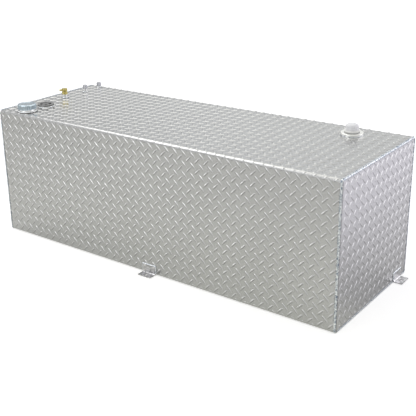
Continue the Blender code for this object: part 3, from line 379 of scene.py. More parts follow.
def wrap_allowed(u, v):
    """False under the end beads, the fittings' rings and the front angle."""
    clear = (np.abs(u) < WRAP_END) & (v > ROUND_LOW) & (v < ROUND_HIGH)
    for x, y, radius in rings:
        ring_v = FLAT + ARC + (y + OVER / 2)
        clear &= np.hypot(u - x, v - ring_v) > radius - UNDER_RING
    by_tab = np.abs(u - (tab_low.x + tab_high.x) / 2) < (tab_high.x - tab_low.x) / 2 - UNDER_TAB
    return clear & ~(by_tab & (v < tab_high.z - BEND - UNDER_TAB))


def wrap_fade(u, v):
    """1 on the open sheet, a quarter where the bead's toe meets it, and 0 towards the underside."""
    by_bead = 0.25 + 0.75 * step_up(TANK_HALF - BEAD_TOE + 0.001 - np.abs(u), 0.0, 0.004)
    by_foot = step_up(v, ROUND_LOW - 0.002, 0.001) * step_up(ROUND_HIGH + 0.002 - v, 0.0, 0.007)
    return by_bead * by_foot


def wrap_upright(v):
    """1 on the front, where v runs up, -1 down the back, and a little towards the front on top."""
    turn = np.interp(v, ROUND_STOPS, ROUND_TURN)
    return np.interp(turn, np.radians([0, 90, 180]), [1.0, 0.12, -1.0])


centres, leans = lattice(TREAD_PITCH, WRAP_PHASE, (-TANK_HALF, ROUND_LOW), (TANK_HALF, ROUND_HIGH))
wrap_lozenges = lozenges(centres, leans, TREAD_PITCH, wrap_allowed, wrap_fade, wrap_upright)
raised_tread("wrap_tread", wrap_lozenges, round_the_sheet)

END_PITCH = (0.03425, 0.0346)
END_PHASE = (-TANK_DEPTH / 2 + 0.0355, TANK_HEIGHT - 0.042)
END_EDGE = 0.0045
for side, end in ((1, "right"), (-1, "left")):
    seat_low, seat_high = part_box(f"{end}_tab_weld")
    seat_middle = side * (seat_low.y + seat_high.y) / 2
    seat_half = (seat_high.y - seat_low.y) / 2 - UNDER_TAB

    def end_allowed(u, v):
        """False under the bead round the end and under the welded angle."""
        inside = (np.abs(u) < TANK_DEPTH / 2 - END_EDGE) & (v > END_EDGE) & (v < TANK_HEIGHT - END_EDGE)
        return inside & ~((np.abs(u - seat_middle) < seat_half) & (v < seat_high.z - UNDER_TAB))

    def end_fade(u, v):
        """1 on the open plate, falling to a quarter where the bead's toe meets it."""
        edge = np.minimum(np.minimum(TANK_DEPTH / 2 - np.abs(u), v), TANK_HEIGHT - v)
        return 0.25 + 0.75 * step_up(edge, BEAD_TOE - 0.001, BEAD_TOE + 0.003)

    def on_the_end(u, v, rise):
        """Position at u across the end and v up it, rise off its outer face."""
        return np.stack([side * (TANK_HALF + rise), side * u, v], -1)

    centres, leans = lattice(END_PITCH, END_PHASE, (-TANK_DEPTH / 2, 0), (TANK_DEPTH / 2, TANK_HEIGHT))
    parts = lozenges(centres, leans, END_PITCH, end_allowed, end_fade, lambda v: 0.6 + 0 * v)
    raised_tread(f"end_tread_{end}", parts, on_the_end)

for node in ("tank_wrap", "end_plate_left", "end_plate_right"):
    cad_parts[node].material_slots[0].material = sheet_metal


# The weld beads: a wire-fed bead round each end, and a fillet round the wall leg of each angle.
# The puddle freezes in crescents a few millimetres apart, bright on top and brown at the toes,
# with painted shade in the ripples' troughs and along the toes.


def bead_finish(dull, cast):
    """Bright bluish crescents on dull patches, with painted shade in the ripples' troughs, and brown
    sooting and a painted undercut shadow along the toes.
    """

    def build(place):
        ripple, toe = place.painted("ripple"), place.painted("toe")
        cloud = grain(place, 60.0, 3.0)
        fine = grain(place, 1500.0, 2.0)
        patch = grain(place, 230.0, 1.0)
        # Painted shade: the ripples' crests come out lighter and their troughs darker, over random patches.
        bright = (ripple * 0.5 + cloud * 0.5 + patch * 3.4 - 1.75).clamped()
        metal = bright.blend(tint(dull, cast), tint(0.88, (0.97, 0.99, 1.0)))
        # Sooting and a painted undercut shadow darken the toes.
        soot_and_shade = (toe * 1.2 + cloud * 0.4 - 0.25).clamped()
        return {
            "Base Color": soot_and_shade.blend(metal, tint(0.11, (1.1, 1.0, 0.92))),
            "Roughness": 0.22 + 0.2 * cloud,
            "Normal": relief(fine * 0.3 + patch, 0.5, 0.0006),
        }

    return build


bead_metal = finish("weld_bead", {"Metallic": 1.0}, bead_finish(0.22, (0.76, 0.96, 1.26)))
bright_bead = finish("bright_weld_bead", {"Metallic": 1.0}, bead_finish(0.42, (0.9, 0.98, 1.1)))


def bead(
    name, node, path, out, off, section, root, travel, pitch, depth, around, toe, soot_and_shade_along=1.0, settle=None,
    metal=bright_bead,
):
    """A bead swept along a path: section points times the out and off directions at each station.

    Each ripple is a crescent, so the surface is drawn in by depth times a sharp wave of the travel
    along the path, and the wave lags towards the toes by the square of the way across. Root holds
    the section's points inside the joint, and toe how dark each section point is by sooting and
    painted shade, times a share for each station.
    """
    across = np.linspace(-1, 1, len(section))
    lag = 0.55 * across**2
    wobble = 0.25 * np.sin(travel * 173.0) + 0.2 * np.sin(travel * 411.0 + 1.3)
    phase = (travel / pitch + wobble)[:, None] - lag
    wave = np.abs(np.sin(np.pi * phase)) ** 0.7
    edge = np.clip(1 - np.abs(across) ** 4, 0, 1)
    shaped = np.asarray(section, float) - (depth * (1 - wave) * edge)[..., None] / math.sqrt(2)
    shaped = np.concatenate([shaped, np.tile(root, (len(path), 1, 1))], 1)
    grid = path[:, None] + out[:, None] * shaped[..., :1] + off[:, None] * shaped[..., 1:]
    ripple = np.concatenate([wave, np.zeros((len(path), len(root)))], 1)
    # Sooting and painted shade at the toes, scaled for each station.
    toes = np.full(len(path), soot_and_shade_along)[:, None] * np.concatenate([toe(across), np.ones(len(root))])
    if settle:
        grid = settle(grid)
    obj = tube_object(name, grid, metal, around, {"ripple": ripple, "toe": toes})
    facing_out(obj)
    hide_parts(node)
    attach(obj, "tank")


def tube_object(name, grid, material, around, attributes=None):
    """A skin over rows of points, closed across each row; the rows close too, or end in caps."""
    rows, columns = grid.shape[:2]
    index = np.arange(rows * columns).reshape(rows, columns)
    nxt = np.roll(index, -1, 1)
    if around:
        below, below_next = np.roll(index, -1, 0), np.roll(nxt, -1, 0)
        quads = np.stack([index, nxt, below_next, below], -1).reshape(-1, 4)
        groups = [quads]
    else:
        quads = np.stack([index[:-1], nxt[:-1], nxt[1:], index[1:]], -1).reshape(-1, 4)
        groups = [quads, index[:1, ::-1], index[-1:]]
    return mesh_object(name, grid.reshape(-1, 3), groups, material, attributes)


def facing_out(obj):
    """Turns the faces outward if the closed mesh's signed volume is negative."""
    work = bmesh.new()
    work.from_mesh(obj.data)
    if work.calc_volume(signed=True) < 0:
        bmesh.ops.reverse_faces(work, faces=work.faces)
        work.to_mesh(obj.data)
    work.free()


SHEET = 0.00254
SLIT = 0.0003
DRESSED_FOOT, DRESSED_WALL = 0.0002, 0.0001
CORNER_ROOT = np.array([(-SHEET, SLIT), (-SHEET, -SHEET), (SLIT, -SHEET)])


def corner_toe(across):
    """Dark at the end plate's toe and duller over that leg, by sooting and painted shade, and a thin
    dark line at the wrap's toe.
    """
    plate = 0.62 * step_up(across, 0.02, 0.30) + 0.4 * step_up(across, 0.62, 0.95)
    return plate + 0.5 * step_up(-across, 0.85, 1.0)


def end_bead_section(points=11, crown=0.0003):
    """The circle through both toes and a crown just beyond the tank's corner."""
    toe = np.array([SLIT, -BEAD_TOE])
    centre = (2 * crown**2 - toe @ toe) / (4 * crown - 2 * toe.sum())
    radius = math.sqrt(2) * (crown - centre)
    start = math.atan2(toe[1] - centre, toe[0] - centre)
    angles = np.linspace(start, math.pi / 2 - start, points)
    return np.stack([centre + radius * np.cos(angles), centre + radius * np.sin(angles)], -1)


def rounded_outline(width, height, radius, step):
    """Points and outward directions round a rectangle with round corners, a step apart."""
    flats = [height - 2 * radius, width - 2 * radius] * 2
    arc = math.pi / 2 * radius
    total = sum(flats) + 4 * arc
    travel = np.arange(round(total / step)) * (total / round(total / step))
    stops, turn, y, z = [0.0], [0.0], [-1.0], [-1.0]
    for number, flat in enumerate(flats):
        stops += [stops[-1] + flat, stops[-1] + flat + arc]
        turn += [number * 90.0, number * 90.0 + 90.0]
        corner = [(-1, 1), (1, 1), (1, -1), (-1, -1)][number]
        y += [corner[0]] * 2
        z += [corner[1]] * 2
    angle = np.radians(np.interp(travel, stops, turn))
    facing = np.stack([np.zeros_like(angle), -np.cos(angle), np.sin(angle)], -1)
    middle_y = np.interp(travel, stops, y) * (width / 2 - radius)
    middle_z = np.interp(travel, stops, z) * (height / 2 - radius) + height / 2
    middle = np.stack([np.zeros_like(angle), middle_y, middle_z], -1)
    return middle + radius * facing, facing, travel


for side, end in ((1, "right"), (-1, "left")):
    outline, facing, travel = rounded_outline(TANK_DEPTH, TANK_HEIGHT, BEND, 0.0008)
    outline[:, 0] = side * TANK_HALF
    off = np.tile([float(side), 0.0, 0.0], (len(outline), 1))
    # Painted shade: toes darkest where the bead faces front, a quarter as dark facing up, back or down.
    soot_and_shade = 0.25 + 0.75 * np.clip(-facing[:, 1], 0, 1)
    seat_low, seat_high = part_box(f"{end}_tab_weld")

    def settle(grid):
        """Dressed flush underneath, and flat behind the angle's wall leg."""
        grid[..., 2] = np.maximum(grid[..., 2], DRESSED_FOOT)
        behind = (grid[..., 1] > seat_low.y) & (grid[..., 1] < seat_high.y) & (grid[..., 2] < seat_high.z)
        flat = np.minimum(np.abs(grid[..., 0]), TANK_HALF + DRESSED_WALL)
        grid[..., 0] = np.where(behind, side * flat, grid[..., 0])
        return grid

    bead(
        f"bead_{end}", f"end_weld_{end}", outline, facing, off, end_bead_section(), CORNER_ROOT, travel,
        pitch=0.0033, depth=0.0006, around=True, toe=corner_toe, soot_and_shade_along=soot_and_shade, settle=settle,
        metal=bead_metal,
    )


angle_low, angle_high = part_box("front_tab")
end_tab_low, end_tab_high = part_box("right_tab")
TAB_WIDTH, TAB_LEG, TAB_FOOT = angle_high.x - angle_low.x, angle_high.z, tab_low.z
END_TAB_Y = (end_tab_low.y + end_tab_high.y) / 2
TAB_BEAD_LEG, TAB_BEAD_RISE, TAB_BEAD_MIDDLE = 0.0042, 0.0029, 0.0022


def tab_bead_section(points=9):
    """A quarter of an ellipse from the wall up to the angle's wall leg."""
    angles = np.linspace(0, math.pi / 2, points)
    return np.stack([SLIT + TAB_BEAD_LEG * np.cos(angles), SLIT + TAB_BEAD_RISE * np.sin(angles)], -1)


def tab_bead_path(step=0.0006, round_corner=9):
    """Up one side of the angle's wall leg, over its edge and down the other side.

    Gives the line, the directions away from the leg and the length travelled, in which a corner
    counts as the arc that the bead's middle sweeps.
    """
    half = TAB_WIDTH / 2
    climb = np.arange(0, TAB_LEG - TAB_FOOT, step)
    corner = np.linspace(0, math.pi / 2, round_corner)
    over = np.linspace(0, TAB_WIDTH, round(TAB_WIDTH / step))[1:-1]
    x = np.concatenate([
        np.full(climb.size + corner.size, -half), over - half, np.full(corner.size + climb.size - 1, half),
    ])
    z = np.concatenate([
        TAB_FOOT + climb, np.full(over.size + 2 * corner.size, TAB_LEG), TAB_LEG - climb[1:],
    ])
    turn = np.concatenate([
        np.zeros(climb.size), corner, np.full(over.size, math.pi / 2), math.pi / 2 + corner,
        np.full(climb.size - 1, math.pi),
    ])
    line = np.stack([x, 0 * x, z], -1)
    out = np.stack([-np.cos(turn), 0 * turn, np.sin(turn)], -1)
    gone = np.linalg.norm(np.diff(line, axis=0), axis=1) + TAB_BEAD_MIDDLE * np.abs(np.diff(turn))
    return line, out, np.concatenate([[0], np.cumsum(gone)])


line, out, travel = tab_bead_path()
for tab, foot, turn in (
    ("front", (0.0, -TANK_DEPTH / 2, 0.0), 0.0),
    ("right", (TANK_HALF, END_TAB_Y, 0.0), math.pi / 2),
    ("left", (-TANK_HALF, END_TAB_Y, 0.0), -math.pi / 2),
):
    spin = np.array(Matrix.Rotation(turn, 3, "Z"))
    off = np.tile([0.0, -1.0, 0.0], (len(line), 1)) @ spin.T
    bead(
        f"bead_{tab}_tab", f"{tab}_tab_weld", line @ spin.T + np.array(foot), out @ spin.T, off,
        tab_bead_section(), np.array([(SLIT, SLIT)]), travel, pitch=0.0030, depth=0.0005, around=False,
        toe=lambda across: 0.8 * step_up(-across, 0.6, 1.0),
    )


# The hold-down angles, sawn from extruded aluminium angle with one bolt hole each, and the two folded
# surge plates inside. Fine drawing lines run along them, under scuffs and the stain of the weld's
# heat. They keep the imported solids' own forms.


def extruded_finish(place):
    """Extruded metal: fine lines along X under scuffs and the stain of the weld's heat."""
    line = grain(place, 1.0, 3.0, (6.0, 900.0, 900.0))
    cloud = grain(place, 30.0, 3.0)
    scuff = grain(place, 130.0, 3.0)
    worn = (0.3 * line + 2.6 * scuff - 1.0).clamped()
    return {
        "Base Color": worn.blend(tint(0.36), tint(0.84, (1.0, 0.99, 1.02))),
        "Roughness": 0.14 + 0.2 * cloud,
        "Normal": relief(line * 0.4 + scuff, 0.5, 0.0006),
    }


def dress(obj, node, body):
    """The object stands for that node, whose own part is hidden, and moves with the body."""
    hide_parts(node)
    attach(obj, body)


def smooth_copy(node, material, body="tank"):
    """The node's own form as one merged mesh, smooth over its curves and sharp at its edges."""
    work = bmesh.new()
    work.from_mesh(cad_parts[node].data)
    work.transform(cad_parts[node].matrix_world)
    bmesh.ops.remove_doubles(work, verts=work.verts, dist=1e-6)
    bmesh.ops.dissolve_limit(work, angle_limit=1e-4, verts=work.verts, edges=work.edges)
    mesh = bpy.data.meshes.new(f"{node}_form")
    work.to_mesh(mesh)
    work.free()
    mesh.shade_smooth()
    mesh.set_sharp_from_angle(angle=math.radians(32))
    mesh.materials.clear()
    mesh.materials.append(material)
    obj = bpy.data.objects.new(f"{node}_form", mesh)
    bpy.context.scene.collection.objects.link(obj)
    dress(obj, node, body)
    return obj


extruded = finish("extruded_angle", {"Metallic": 1.0}, extruded_finish)
for node in ("front_tab", "left_tab", "right_tab", "baffle_left", "baffle_right"):
    smooth_copy(node, extruded)


# The filler: a turned neck with an external thread, let into the top and welded round its flange. Its
# cap is pressed from zinc-plated steel, with 32 grips round the skirt and a rolled edge.


def middle_of(node):
    """The middle of a fitting's box in X and Y, at the height of the tank's top."""
    low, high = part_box(node)
    return np.array([(low.x + high.x) / 2, (low.y + high.y) / 2, TANK_HEIGHT])


def eased(profile, radius, bored=True, steps=3):
    """The profile with each corner drawn as a parabola from a radius before it to a radius after."""
    points = np.asarray(profile, float)
    drawn = []
    for number, corner in enumerate(points):
        if not bored and number in (0, len(points) - 1):
            drawn.append(corner)
            continue
        before = points[number - 1] - corner
        after = points[(number + 1) % len(points)] - corner
        start = before * min(radius / np.linalg.norm(before), 0.4)
        end = after * min(radius / np.linalg.norm(after), 0.4)
        drawn += [corner + (1 - t) ** 2 * start + t**2 * end for t in np.linspace(0, 1, steps)]
    return drawn


def between(start, end, count):
    """Count profile points from one to the other, ends left out."""
    return [tuple(point) for point in np.linspace(start, end, count + 2)[1:-1]]


def turned(
    name, node, profile, place, material, segments=96, reach=None, bored=True, body="tank",
):
    """A (radius, height) profile carried round Z: down the outside and up the bore, or axis to axis.

    Reach(radius, height, angle) gives the distance from the axis where the piece isn't round. The
    attribute turn is the length travelled along the profile, which its turning marks follow.
    """
    profile = np.asarray(profile, float)
    gone = np.concatenate([[0], np.cumsum(np.linalg.norm(np.diff(profile, axis=0), axis=1))])
    rims = profile if bored else profile[1:-1]
    angle = np.arange(segments) * math.tau / segments
    radius, height = (np.repeat(rims[:, [column]], segments, 1) for column in (0, 1))
    if reach:
        radius = reach(radius, height, angle)
    points = np.stack([radius * np.cos(angle), radius * np.sin(angle), height], -1).reshape(-1, 3)
    index = np.arange(len(points)).reshape(len(rims), segments)
    below = np.roll(index, -1, 0) if bored else index[1:]
    here = index if bored else index[:-1]
    faces = [np.stack([here, below, np.roll(below, -1, 1), np.roll(here, -1, 1)], -1).reshape(-1, 4)]
    marks = np.repeat((gone if bored else gone[1:-1])[:, None], segments, 1).ravel()
    if not bored:
        top, foot = len(points), len(points) + 1
        points = np.vstack([points, [0, 0, profile[0, 1]], [0, 0, profile[-1, 1]]])
        marks = np.concatenate([marks, gone[[0, -1]]])
        pole = np.full(segments, top)
        faces.append(np.stack([pole, index[0], np.roll(index[0], -1)], -1))
        faces.append(np.stack([pole + 1, np.roll(index[-1], -1), index[-1]], -1))
    obj = mesh_object(name, points + np.asarray(place), faces, material, {"turn": marks})
    obj.data.set_sharp_from_angle(angle=math.radians(50))
    dress(obj, node, body)
    return obj


def thread(crest, low, high, depth, pitch):
    """Reach of a thread: from the crest in to its root by a triangle wave of height and angle.

    In a bore the depth is negative, and the wave runs out into the wall.
    """

    def reach(radius, height, angle):
        turns = height / pitch - angle / math.tau
        wave = 2 * np.abs(turns - np.round(turns))
        ends = step_up(height, low, low + pitch / 2) * step_up(-height, -high, pitch / 2 - high)
        return radius - depth * wave * ends * (np.abs(radius - crest) < 1e-6)

    return reach


def tool_marks(place, scale):
    """Noise along the turned profile, which draws fine rings round the piece."""
    inputs = {"W": place.painted("turn"), "Scale": scale, "Detail": 2.0}
    return place.node("ShaderNodeTexNoise", {"noise_dimensions": "1D"}, inputs)


def turned_finish(base, rough, cast=(1.0, 1.0, 1.0)):
    """Turned metal: fine marks that follow the tool round, and a little handling cloud."""

    def build(place):
        marks = tool_marks(place, 4000.0)
        cloud = grain(place, 90.0, 3.0)
        level = (0.6 * cloud + 0.4 * marks).clamped()
        return {
            "Base Color": level.blend(tint(base * 0.78, cast), tint(base * 1.1, cast)),
            "Roughness": rough + 0.12 * cloud,
            "Normal": relief(marks, 0.25, 0.00005),
        }

    return build


turned_metal = finish("turned_aluminium", {"Metallic": 1.0}, turned_finish(0.84, 0.14))


def ring_bead(fitting, node, radius, leg, height, soot_and_shade=0.5):
    """The fillet round a fitting's foot: a quarter of an ellipse from the sheet up its side."""
    place = middle_of(node)
    travel = np.arange(0, math.tau * radius, 0.0005)
    angle = travel / radius
    out = np.stack([np.cos(angle), np.sin(angle), 0 * angle], -1)
    off = np.tile([0.0, 0.0, 1.0], (len(angle), 1))
    turn = np.linspace(0, math.pi / 2, 8)
    section = np.stack([SLIT + (leg - SLIT) * np.cos(turn), SLIT + (height - SLIT) * np.sin(turn)], -1)
    # Sooting and painted shade darken the toe, by a strength given for each fitting.
    bead(
        f"{fitting}_bead", node, place + (radius - SLIT) * out, out, off, section,
        np.array([(0, SLIT)]), travel, pitch=0.0026, depth=0.0004, around=True,
        toe=lambda across: soot_and_shade * step_up(-across, 0.1, 0.6),
    )


NECK_RADIUS, NECK_BORE, NECK_RISE, FLANGE = 0.03015, 0.02625, 0.0236, 0.0352
THREAD_LOW, THREAD_HIGH = 0.0100, NECK_RISE - 0.0012
PIPE_PITCH = 0.0022
place = middle_of("filler_neck")
turned(
    "neck", "filler_neck",
    eased([
        (NECK_RADIUS - 0.0010, NECK_RISE), (NECK_RADIUS, NECK_RISE - 0.0010),
        *between((NECK_RADIUS, THREAD_HIGH), (NECK_RADIUS, THREAD_LOW), 44),
        (NECK_RADIUS, 0.0072), (FLANGE - 0.0012, 0.0072), (FLANGE - 0.0002, 0.0062), (FLANGE, SLIT),
        (NECK_RADIUS, SLIT), (NECK_RADIUS, -0.009), (NECK_BORE, -0.009), (NECK_BORE, NECK_RISE),
    ], 0.0002),
    place, turned_metal, reach=thread(NECK_RADIUS, THREAD_LOW, THREAD_HIGH, 0.0010, PIPE_PITCH),
)
ring_bead("filler", "filler_neck", FLANGE, 0.0031, 0.0042, 1.2)


def zinc_finish(place):
    """Blue passivated zinc: a cool sheen with pale bloom, and painted shade in the valleys of the grips."""
    valley = place.painted("valley")
    bloom = grain(place, 70.0, 4.0)
    spangle = grain(place, 420.0, 2.0)
    # Painted shade: darker in the valleys between the grips.
    level = (0.6 * bloom + 0.5 * spangle - 0.55 * valley).clamped()
    return {
        "Base Color": level.blend(tint(0.34, (0.82, 1.0, 1.14)), tint(0.82, (0.88, 0.99, 1.06))),
        "Roughness": 0.16 + 0.2 * spangle,
        "Normal": relief(spangle, 0.2, 0.0001),
    }


zinc = finish("blue_zinc", {"Metallic": 1.0}, zinc_finish)
CAP_RADIUS, CAP_BORE, CAP_FOOT, CAP_UNDER = 0.035, 0.03075, 0.0103, 0.0260
CAP_TOP = CAP_UNDER + 0.0027
GRIPS, GRIP_DEPTH = 32, 0.0011
CAP_SEGMENTS = GRIPS * 12


def grip_share(radius, height):
    """How deep the grips are cut at a height of the skirt: all the way, easing out at both edges."""
    above_foot = step_up(height, CAP_FOOT + 0.0004, CAP_FOOT + 0.0016)
    below_top = step_up(-height, 0.0012 - CAP_TOP, 0.0034 - CAP_TOP)
    return (radius > CAP_RADIUS - 0.0012) * above_foot * below_top


def between_grips(angle):
    """0 on a crest and 1 in the valley between two, by the cosine of the angle."""
    return 0.5 - 0.5 * np.cos(GRIPS * angle)


def cap_reach(radius, height, angle):
    """The skirt drawn in by the grips' depth, with the valleys a little rounder than the cosine."""
    return radius - grip_share(radius, height) * GRIP_DEPTH * between_grips(angle) ** 0.8


cap_profile = eased([
    (0, CAP_TOP - 0.0008), (0.0235, CAP_TOP - 0.0008), (0.0258, CAP_TOP), (0.0308, CAP_TOP),
    (0.0326, CAP_TOP - 0.0004), (0.0344, CAP_TOP - 0.0018), (CAP_RADIUS, CAP_TOP - 0.0036),
    *between((CAP_RADIUS, CAP_TOP - 0.0036), (CAP_RADIUS, CAP_FOOT + 0.0026), 8),
    (CAP_RADIUS, CAP_FOOT + 0.0012), (CAP_RADIUS - 0.0002, CAP_FOOT + 0.0006),
    (CAP_RADIUS - 0.0016, CAP_FOOT), (CAP_BORE, CAP_FOOT), (CAP_BORE, CAP_UNDER), (0, CAP_UNDER),
], 0.0003, bored=False)
cap = turned(
    "cap", "filler_cap", cap_profile, place, zinc, CAP_SEGMENTS, cap_reach, bored=False,
    body="filler_cap",
)
# How deep each point lies between the grips, which steers the zinc's painted shade in the valleys.
rims = np.array(cap_profile)[1:-1]
round_the_cap = np.arange(CAP_SEGMENTS) * math.tau / CAP_SEGMENTS
depth = grip_share(rims[:, :1], rims[:, 1:]) * between_grips(round_the_cap)
valley = cap.data.attributes.new("valley", "FLOAT", "POINT")
valley.data.foreach_set("value", np.concatenate([depth.ravel(), [0, 0]]).astype(np.float32))


def rubber_finish(place):
    """Black rubber with a dusty bloom and a faint moulding grain."""
    dust = grain(place, 140.0, 4.0)
    return {
        "Base Color": dust.blend(tint(0.018), tint(0.055, (1.0, 0.98, 0.95))),
        "Roughness": 0.55 + 0.25 * dust,
        "Normal": relief(grain(place, 1800.0, 2.0), 0.3, 0.0001),
    }


rubber = finish("rubber", {}, rubber_finish)


def washer(node, outer, inner, low, thick, body, material=rubber):
    """A flat ring with eased edges."""
    high = low + thick
    profile = eased([(inner, high), (outer, high), (outer, low), (inner, low)], 0.0004)
    turned(f"{node}_ring", node, profile, middle_of(node), material, body=body)


washer("filler_cap_gasket", NECK_RADIUS, 0.02525, NECK_RISE + SLIT, 0.0018, "filler_cap")


# The pump opening: a heavy turned ring with an internal thread, welded in flush, and a moulded
# plastic plug screwed down on a gasket, with a recess and a cross for a wrench.

PUMP_BORE, PUMP_RING, PUMP_RISE, PUMP_GASKET = 0.0285, 0.033, 0.0055, 0.0016
place = middle_of("pump_bung")
turned(
    "pump_ring", "pump_bung",
    eased([
        (PUMP_BORE + 0.0012, PUMP_RISE), (PUMP_RING - 0.0006, PUMP_RISE), (PUMP_RING, PUMP_RISE - 0.0006),
        (PUMP_RING, SLIT), (PUMP_RING - 0.0008, SLIT), (PUMP_RING - 0.0008, -0.012), (PUMP_BORE, -0.012),
        *between((PUMP_BORE, -0.0115), (PUMP_BORE, PUMP_RISE - 0.0014), 40),
        (PUMP_BORE, PUMP_RISE - 0.0012),
    ], 0.0002),
    place, turned_metal, reach=thread(PUMP_BORE, -0.0116, PUMP_RISE - 0.0013, -0.0009, PIPE_PITCH),
)
ring_bead("pump", "pump_bung", PUMP_RING, 0.0024, 0.0028, 1.1)


def moulded_finish(low, high, rough, cast=(1.0, 1.0, 1.0)):
    """Moulded plastic: a fine spark grain, clouded by dust and scuffs."""

    def build(place):
        dust = grain(place, 60.0, 4.0)
        spark = grain(place, 1100.0, 2.0)
        level = (0.7 * dust + 0.4 * spark).clamped()
        return {
            "Base Color": level.blend(tint(low, cast), tint(high, cast)),
            "Roughness": rough + 0.15 * dust,
            "Normal": relief(spark, 0.3, 0.00012),
        }

    return build


black_plastic = finish("black_plastic", {"IOR": 1.6}, moulded_finish(0.07, 0.34, 0.22))
PLUG_LOW = PUMP_RISE + PUMP_GASKET + 2 * SLIT
PLUG_TOP = PLUG_LOW + 0.003
PLUG_FLOOR, PLUG_FOOT = PLUG_TOP - 0.009, PLUG_LOW - 0.016
PLUG_UNDER = PLUG_FLOOR - 0.003
PLUG_FLANGE, SKIRT, SKIRT_BORE = 0.032, PUMP_BORE - SLIT, PUMP_BORE - 0.0033
NOTCHES, NOTCH_DEPTH = 24, 0.0009
skirt_thread = thread(SKIRT, PLUG_FOOT + 0.001, PLUG_LOW - 0.0008, 0.0009, PIPE_PITCH)


def plug_reach(radius, height, angle):
    """The skirt's thread, and small notches round the flange's edge where the cosine is near 1."""
    edge = (radius > PLUG_FLANGE - 0.0005) * (height > PLUG_LOW + 0.0006)
    notch = np.clip(np.cos(NOTCHES * angle) * 3 - 2, 0, 1) * edge
    return skirt_thread(radius, height, angle) - NOTCH_DEPTH * notch


turned(
    "plug", "pump_plug",
    eased([
        (0, PLUG_FLOOR), (0.021, PLUG_FLOOR), (0.022, PLUG_TOP - 0.0006), (0.0228, PLUG_TOP),
        (0.0235, PLUG_TOP), (0.0238, PLUG_TOP - 0.0004), (0.0262, PLUG_TOP - 0.0004), (0.0265, PLUG_TOP),
        (0.031, PLUG_TOP), (PLUG_FLANGE, PLUG_TOP - 0.0008), (PLUG_FLANGE, PLUG_LOW), (SKIRT, PLUG_LOW),
        *between((SKIRT, PLUG_LOW - 0.0006), (SKIRT, PLUG_FOOT + 0.001), 40), (SKIRT - 0.001, PLUG_FOOT),
        (SKIRT_BORE, PLUG_FOOT), (SKIRT_BORE, PLUG_UNDER), (0, PLUG_UNDER),
    ], 0.0002, bored=False),
    place, black_plastic, 192, plug_reach, bored=False, body="pump_plug",
)


def extruded_outline(outline, levels):
    """Rings of an outline, each (inset towards the axis, height), closed at both ends."""
    rings = []
    for inset, height in levels:
        shrunk = outline * (1 - inset / np.linalg.norm(outline, axis=1)[:, None])
        rings.append(np.column_stack([shrunk, np.full(len(outline), height)]))
    return np.array(rings)


BAR_HALF, BAR_REACH = 0.0030, 0.0222
quarter = np.array([(BAR_REACH, -BAR_HALF), (BAR_REACH, BAR_HALF), (BAR_HALF, BAR_HALF)])
cross = []
for number in range(4):
    cosine, sine = math.cos(number * math.pi / 2), math.sin(number * math.pi / 2)
    cross += list(quarter @ np.array([[cosine, sine], [-sine, cosine]]))
cross = np.array(eased(cross, 0.0006, steps=4))
levels = [
    (0.0, PLUG_FLOOR - 0.0015), (0.0, PLUG_TOP - 0.0018), (0.0002, PLUG_TOP - 0.0013),
    (0.0006, PLUG_TOP - 0.0012),
]
grip = tube_object("plug_cross", extruded_outline(cross, levels) + place, black_plastic, False)
grip.data.set_sharp_from_angle(angle=math.radians(50))
facing_out(grip)
dress(grip, "pump_plug", "pump_plug")
washer("pump_plug_gasket", 0.0314, PUMP_BORE, PUMP_RISE + SLIT, PUMP_GASKET, "pump_plug")


# The relief vent: a brass body screwed into a half coupling, with a wrench hexagon, a waist and a
# barrel, a pressed-in lid and a side nipple. The steel poppet and its spring are inside the barrel.

FINE_PITCH, FINE_DEPTH = 0.0016, 0.0006


def coupling(fitting, bore, neck, height, leg, flare):
    """A short coupling with an internal thread, its foot let through the top, and its fillet."""
    node = f"{fitting}_bung"
    turned(
        f"{fitting}_coupling", node,
        eased([
            (bore + 0.0009, height), (neck - 0.0006, height), (neck, height - 0.0006), (neck, -0.009),
            (bore, -0.009),
            *between((bore, -0.0085), (bore, height - 0.0012), 5 * round((height + 0.008) / FINE_PITCH)),
            (bore, height - 0.0010),
        ], 0.0002),
        middle_of(node), turned_metal, 64,
        thread(bore, -0.0087, height - 0.0012, -FINE_DEPTH, FINE_PITCH),
    )
    ring_bead(fitting, node, neck, leg, flare)


def brass_finish(place):
    """Machined brass gone olive with handling, brighter along the tool marks."""
    marks = tool_marks(place, 5000.0)
    tarnish = grain(place, 160.0, 4.0)
    level = (1.1 * tarnish + 0.3 * marks - 0.2).clamped()
    return {
        "Base Color": level.blend((0.30, 0.25, 0.07, 1.0), (0.76, 0.65, 0.26, 1.0)),
        "Roughness": 0.20 + 0.15 * tarnish,
        "Normal": relief(marks, 0.2, 0.00004),
    }


brass = finish("brass", {"Metallic": 1.0}, brass_finish)


def hexagonal(flats, low, high, fall=0.5):
    """Reach of a hexagon with a flat facing +X, its corners turned off by a cone at both ends."""
    corner = flats / math.sqrt(3)

    def reach(radius, height, angle):
        side = flats / 2 / np.cos(((angle + math.pi / 6) % (math.pi / 3)) - math.pi / 6)
        cone = np.minimum(flats / 2 + (high - height), flats / 2 + (height - low) / fall)
        inside = (height >= low - 1e-7) & (height <= high + 1e-7) & (radius > flats / 2 - 1e-4)
        return np.where(inside, np.minimum(np.minimum(side, corner), cone), radius)

    return reach


def hexagon_side(flat, foot, head):
    """Profile points down a hexagon's side, from its head over both cones to its foot."""
    corner = 2 * flat / math.sqrt(3)
    rise = corner - flat
    return [
        (flat, head), *between((corner, head), (corner, head - rise), 3), (corner, head - rise),
        (corner, foot + rise / 2), *between((corner, foot + rise / 2), (corner, foot), 2), (flat, foot),
    ]


def hex_headed(shank, flat, foot, head):
    """Reach of a threaded shank under a hexagon."""
    screw = thread(shank, foot - 0.0095, foot - 0.0004, FINE_DEPTH, FINE_PITCH)
    wrench = hexagonal(2 * flat, foot, head)
    return lambda radius, height, angle: wrench(screw(radius, height, angle), height, angle)


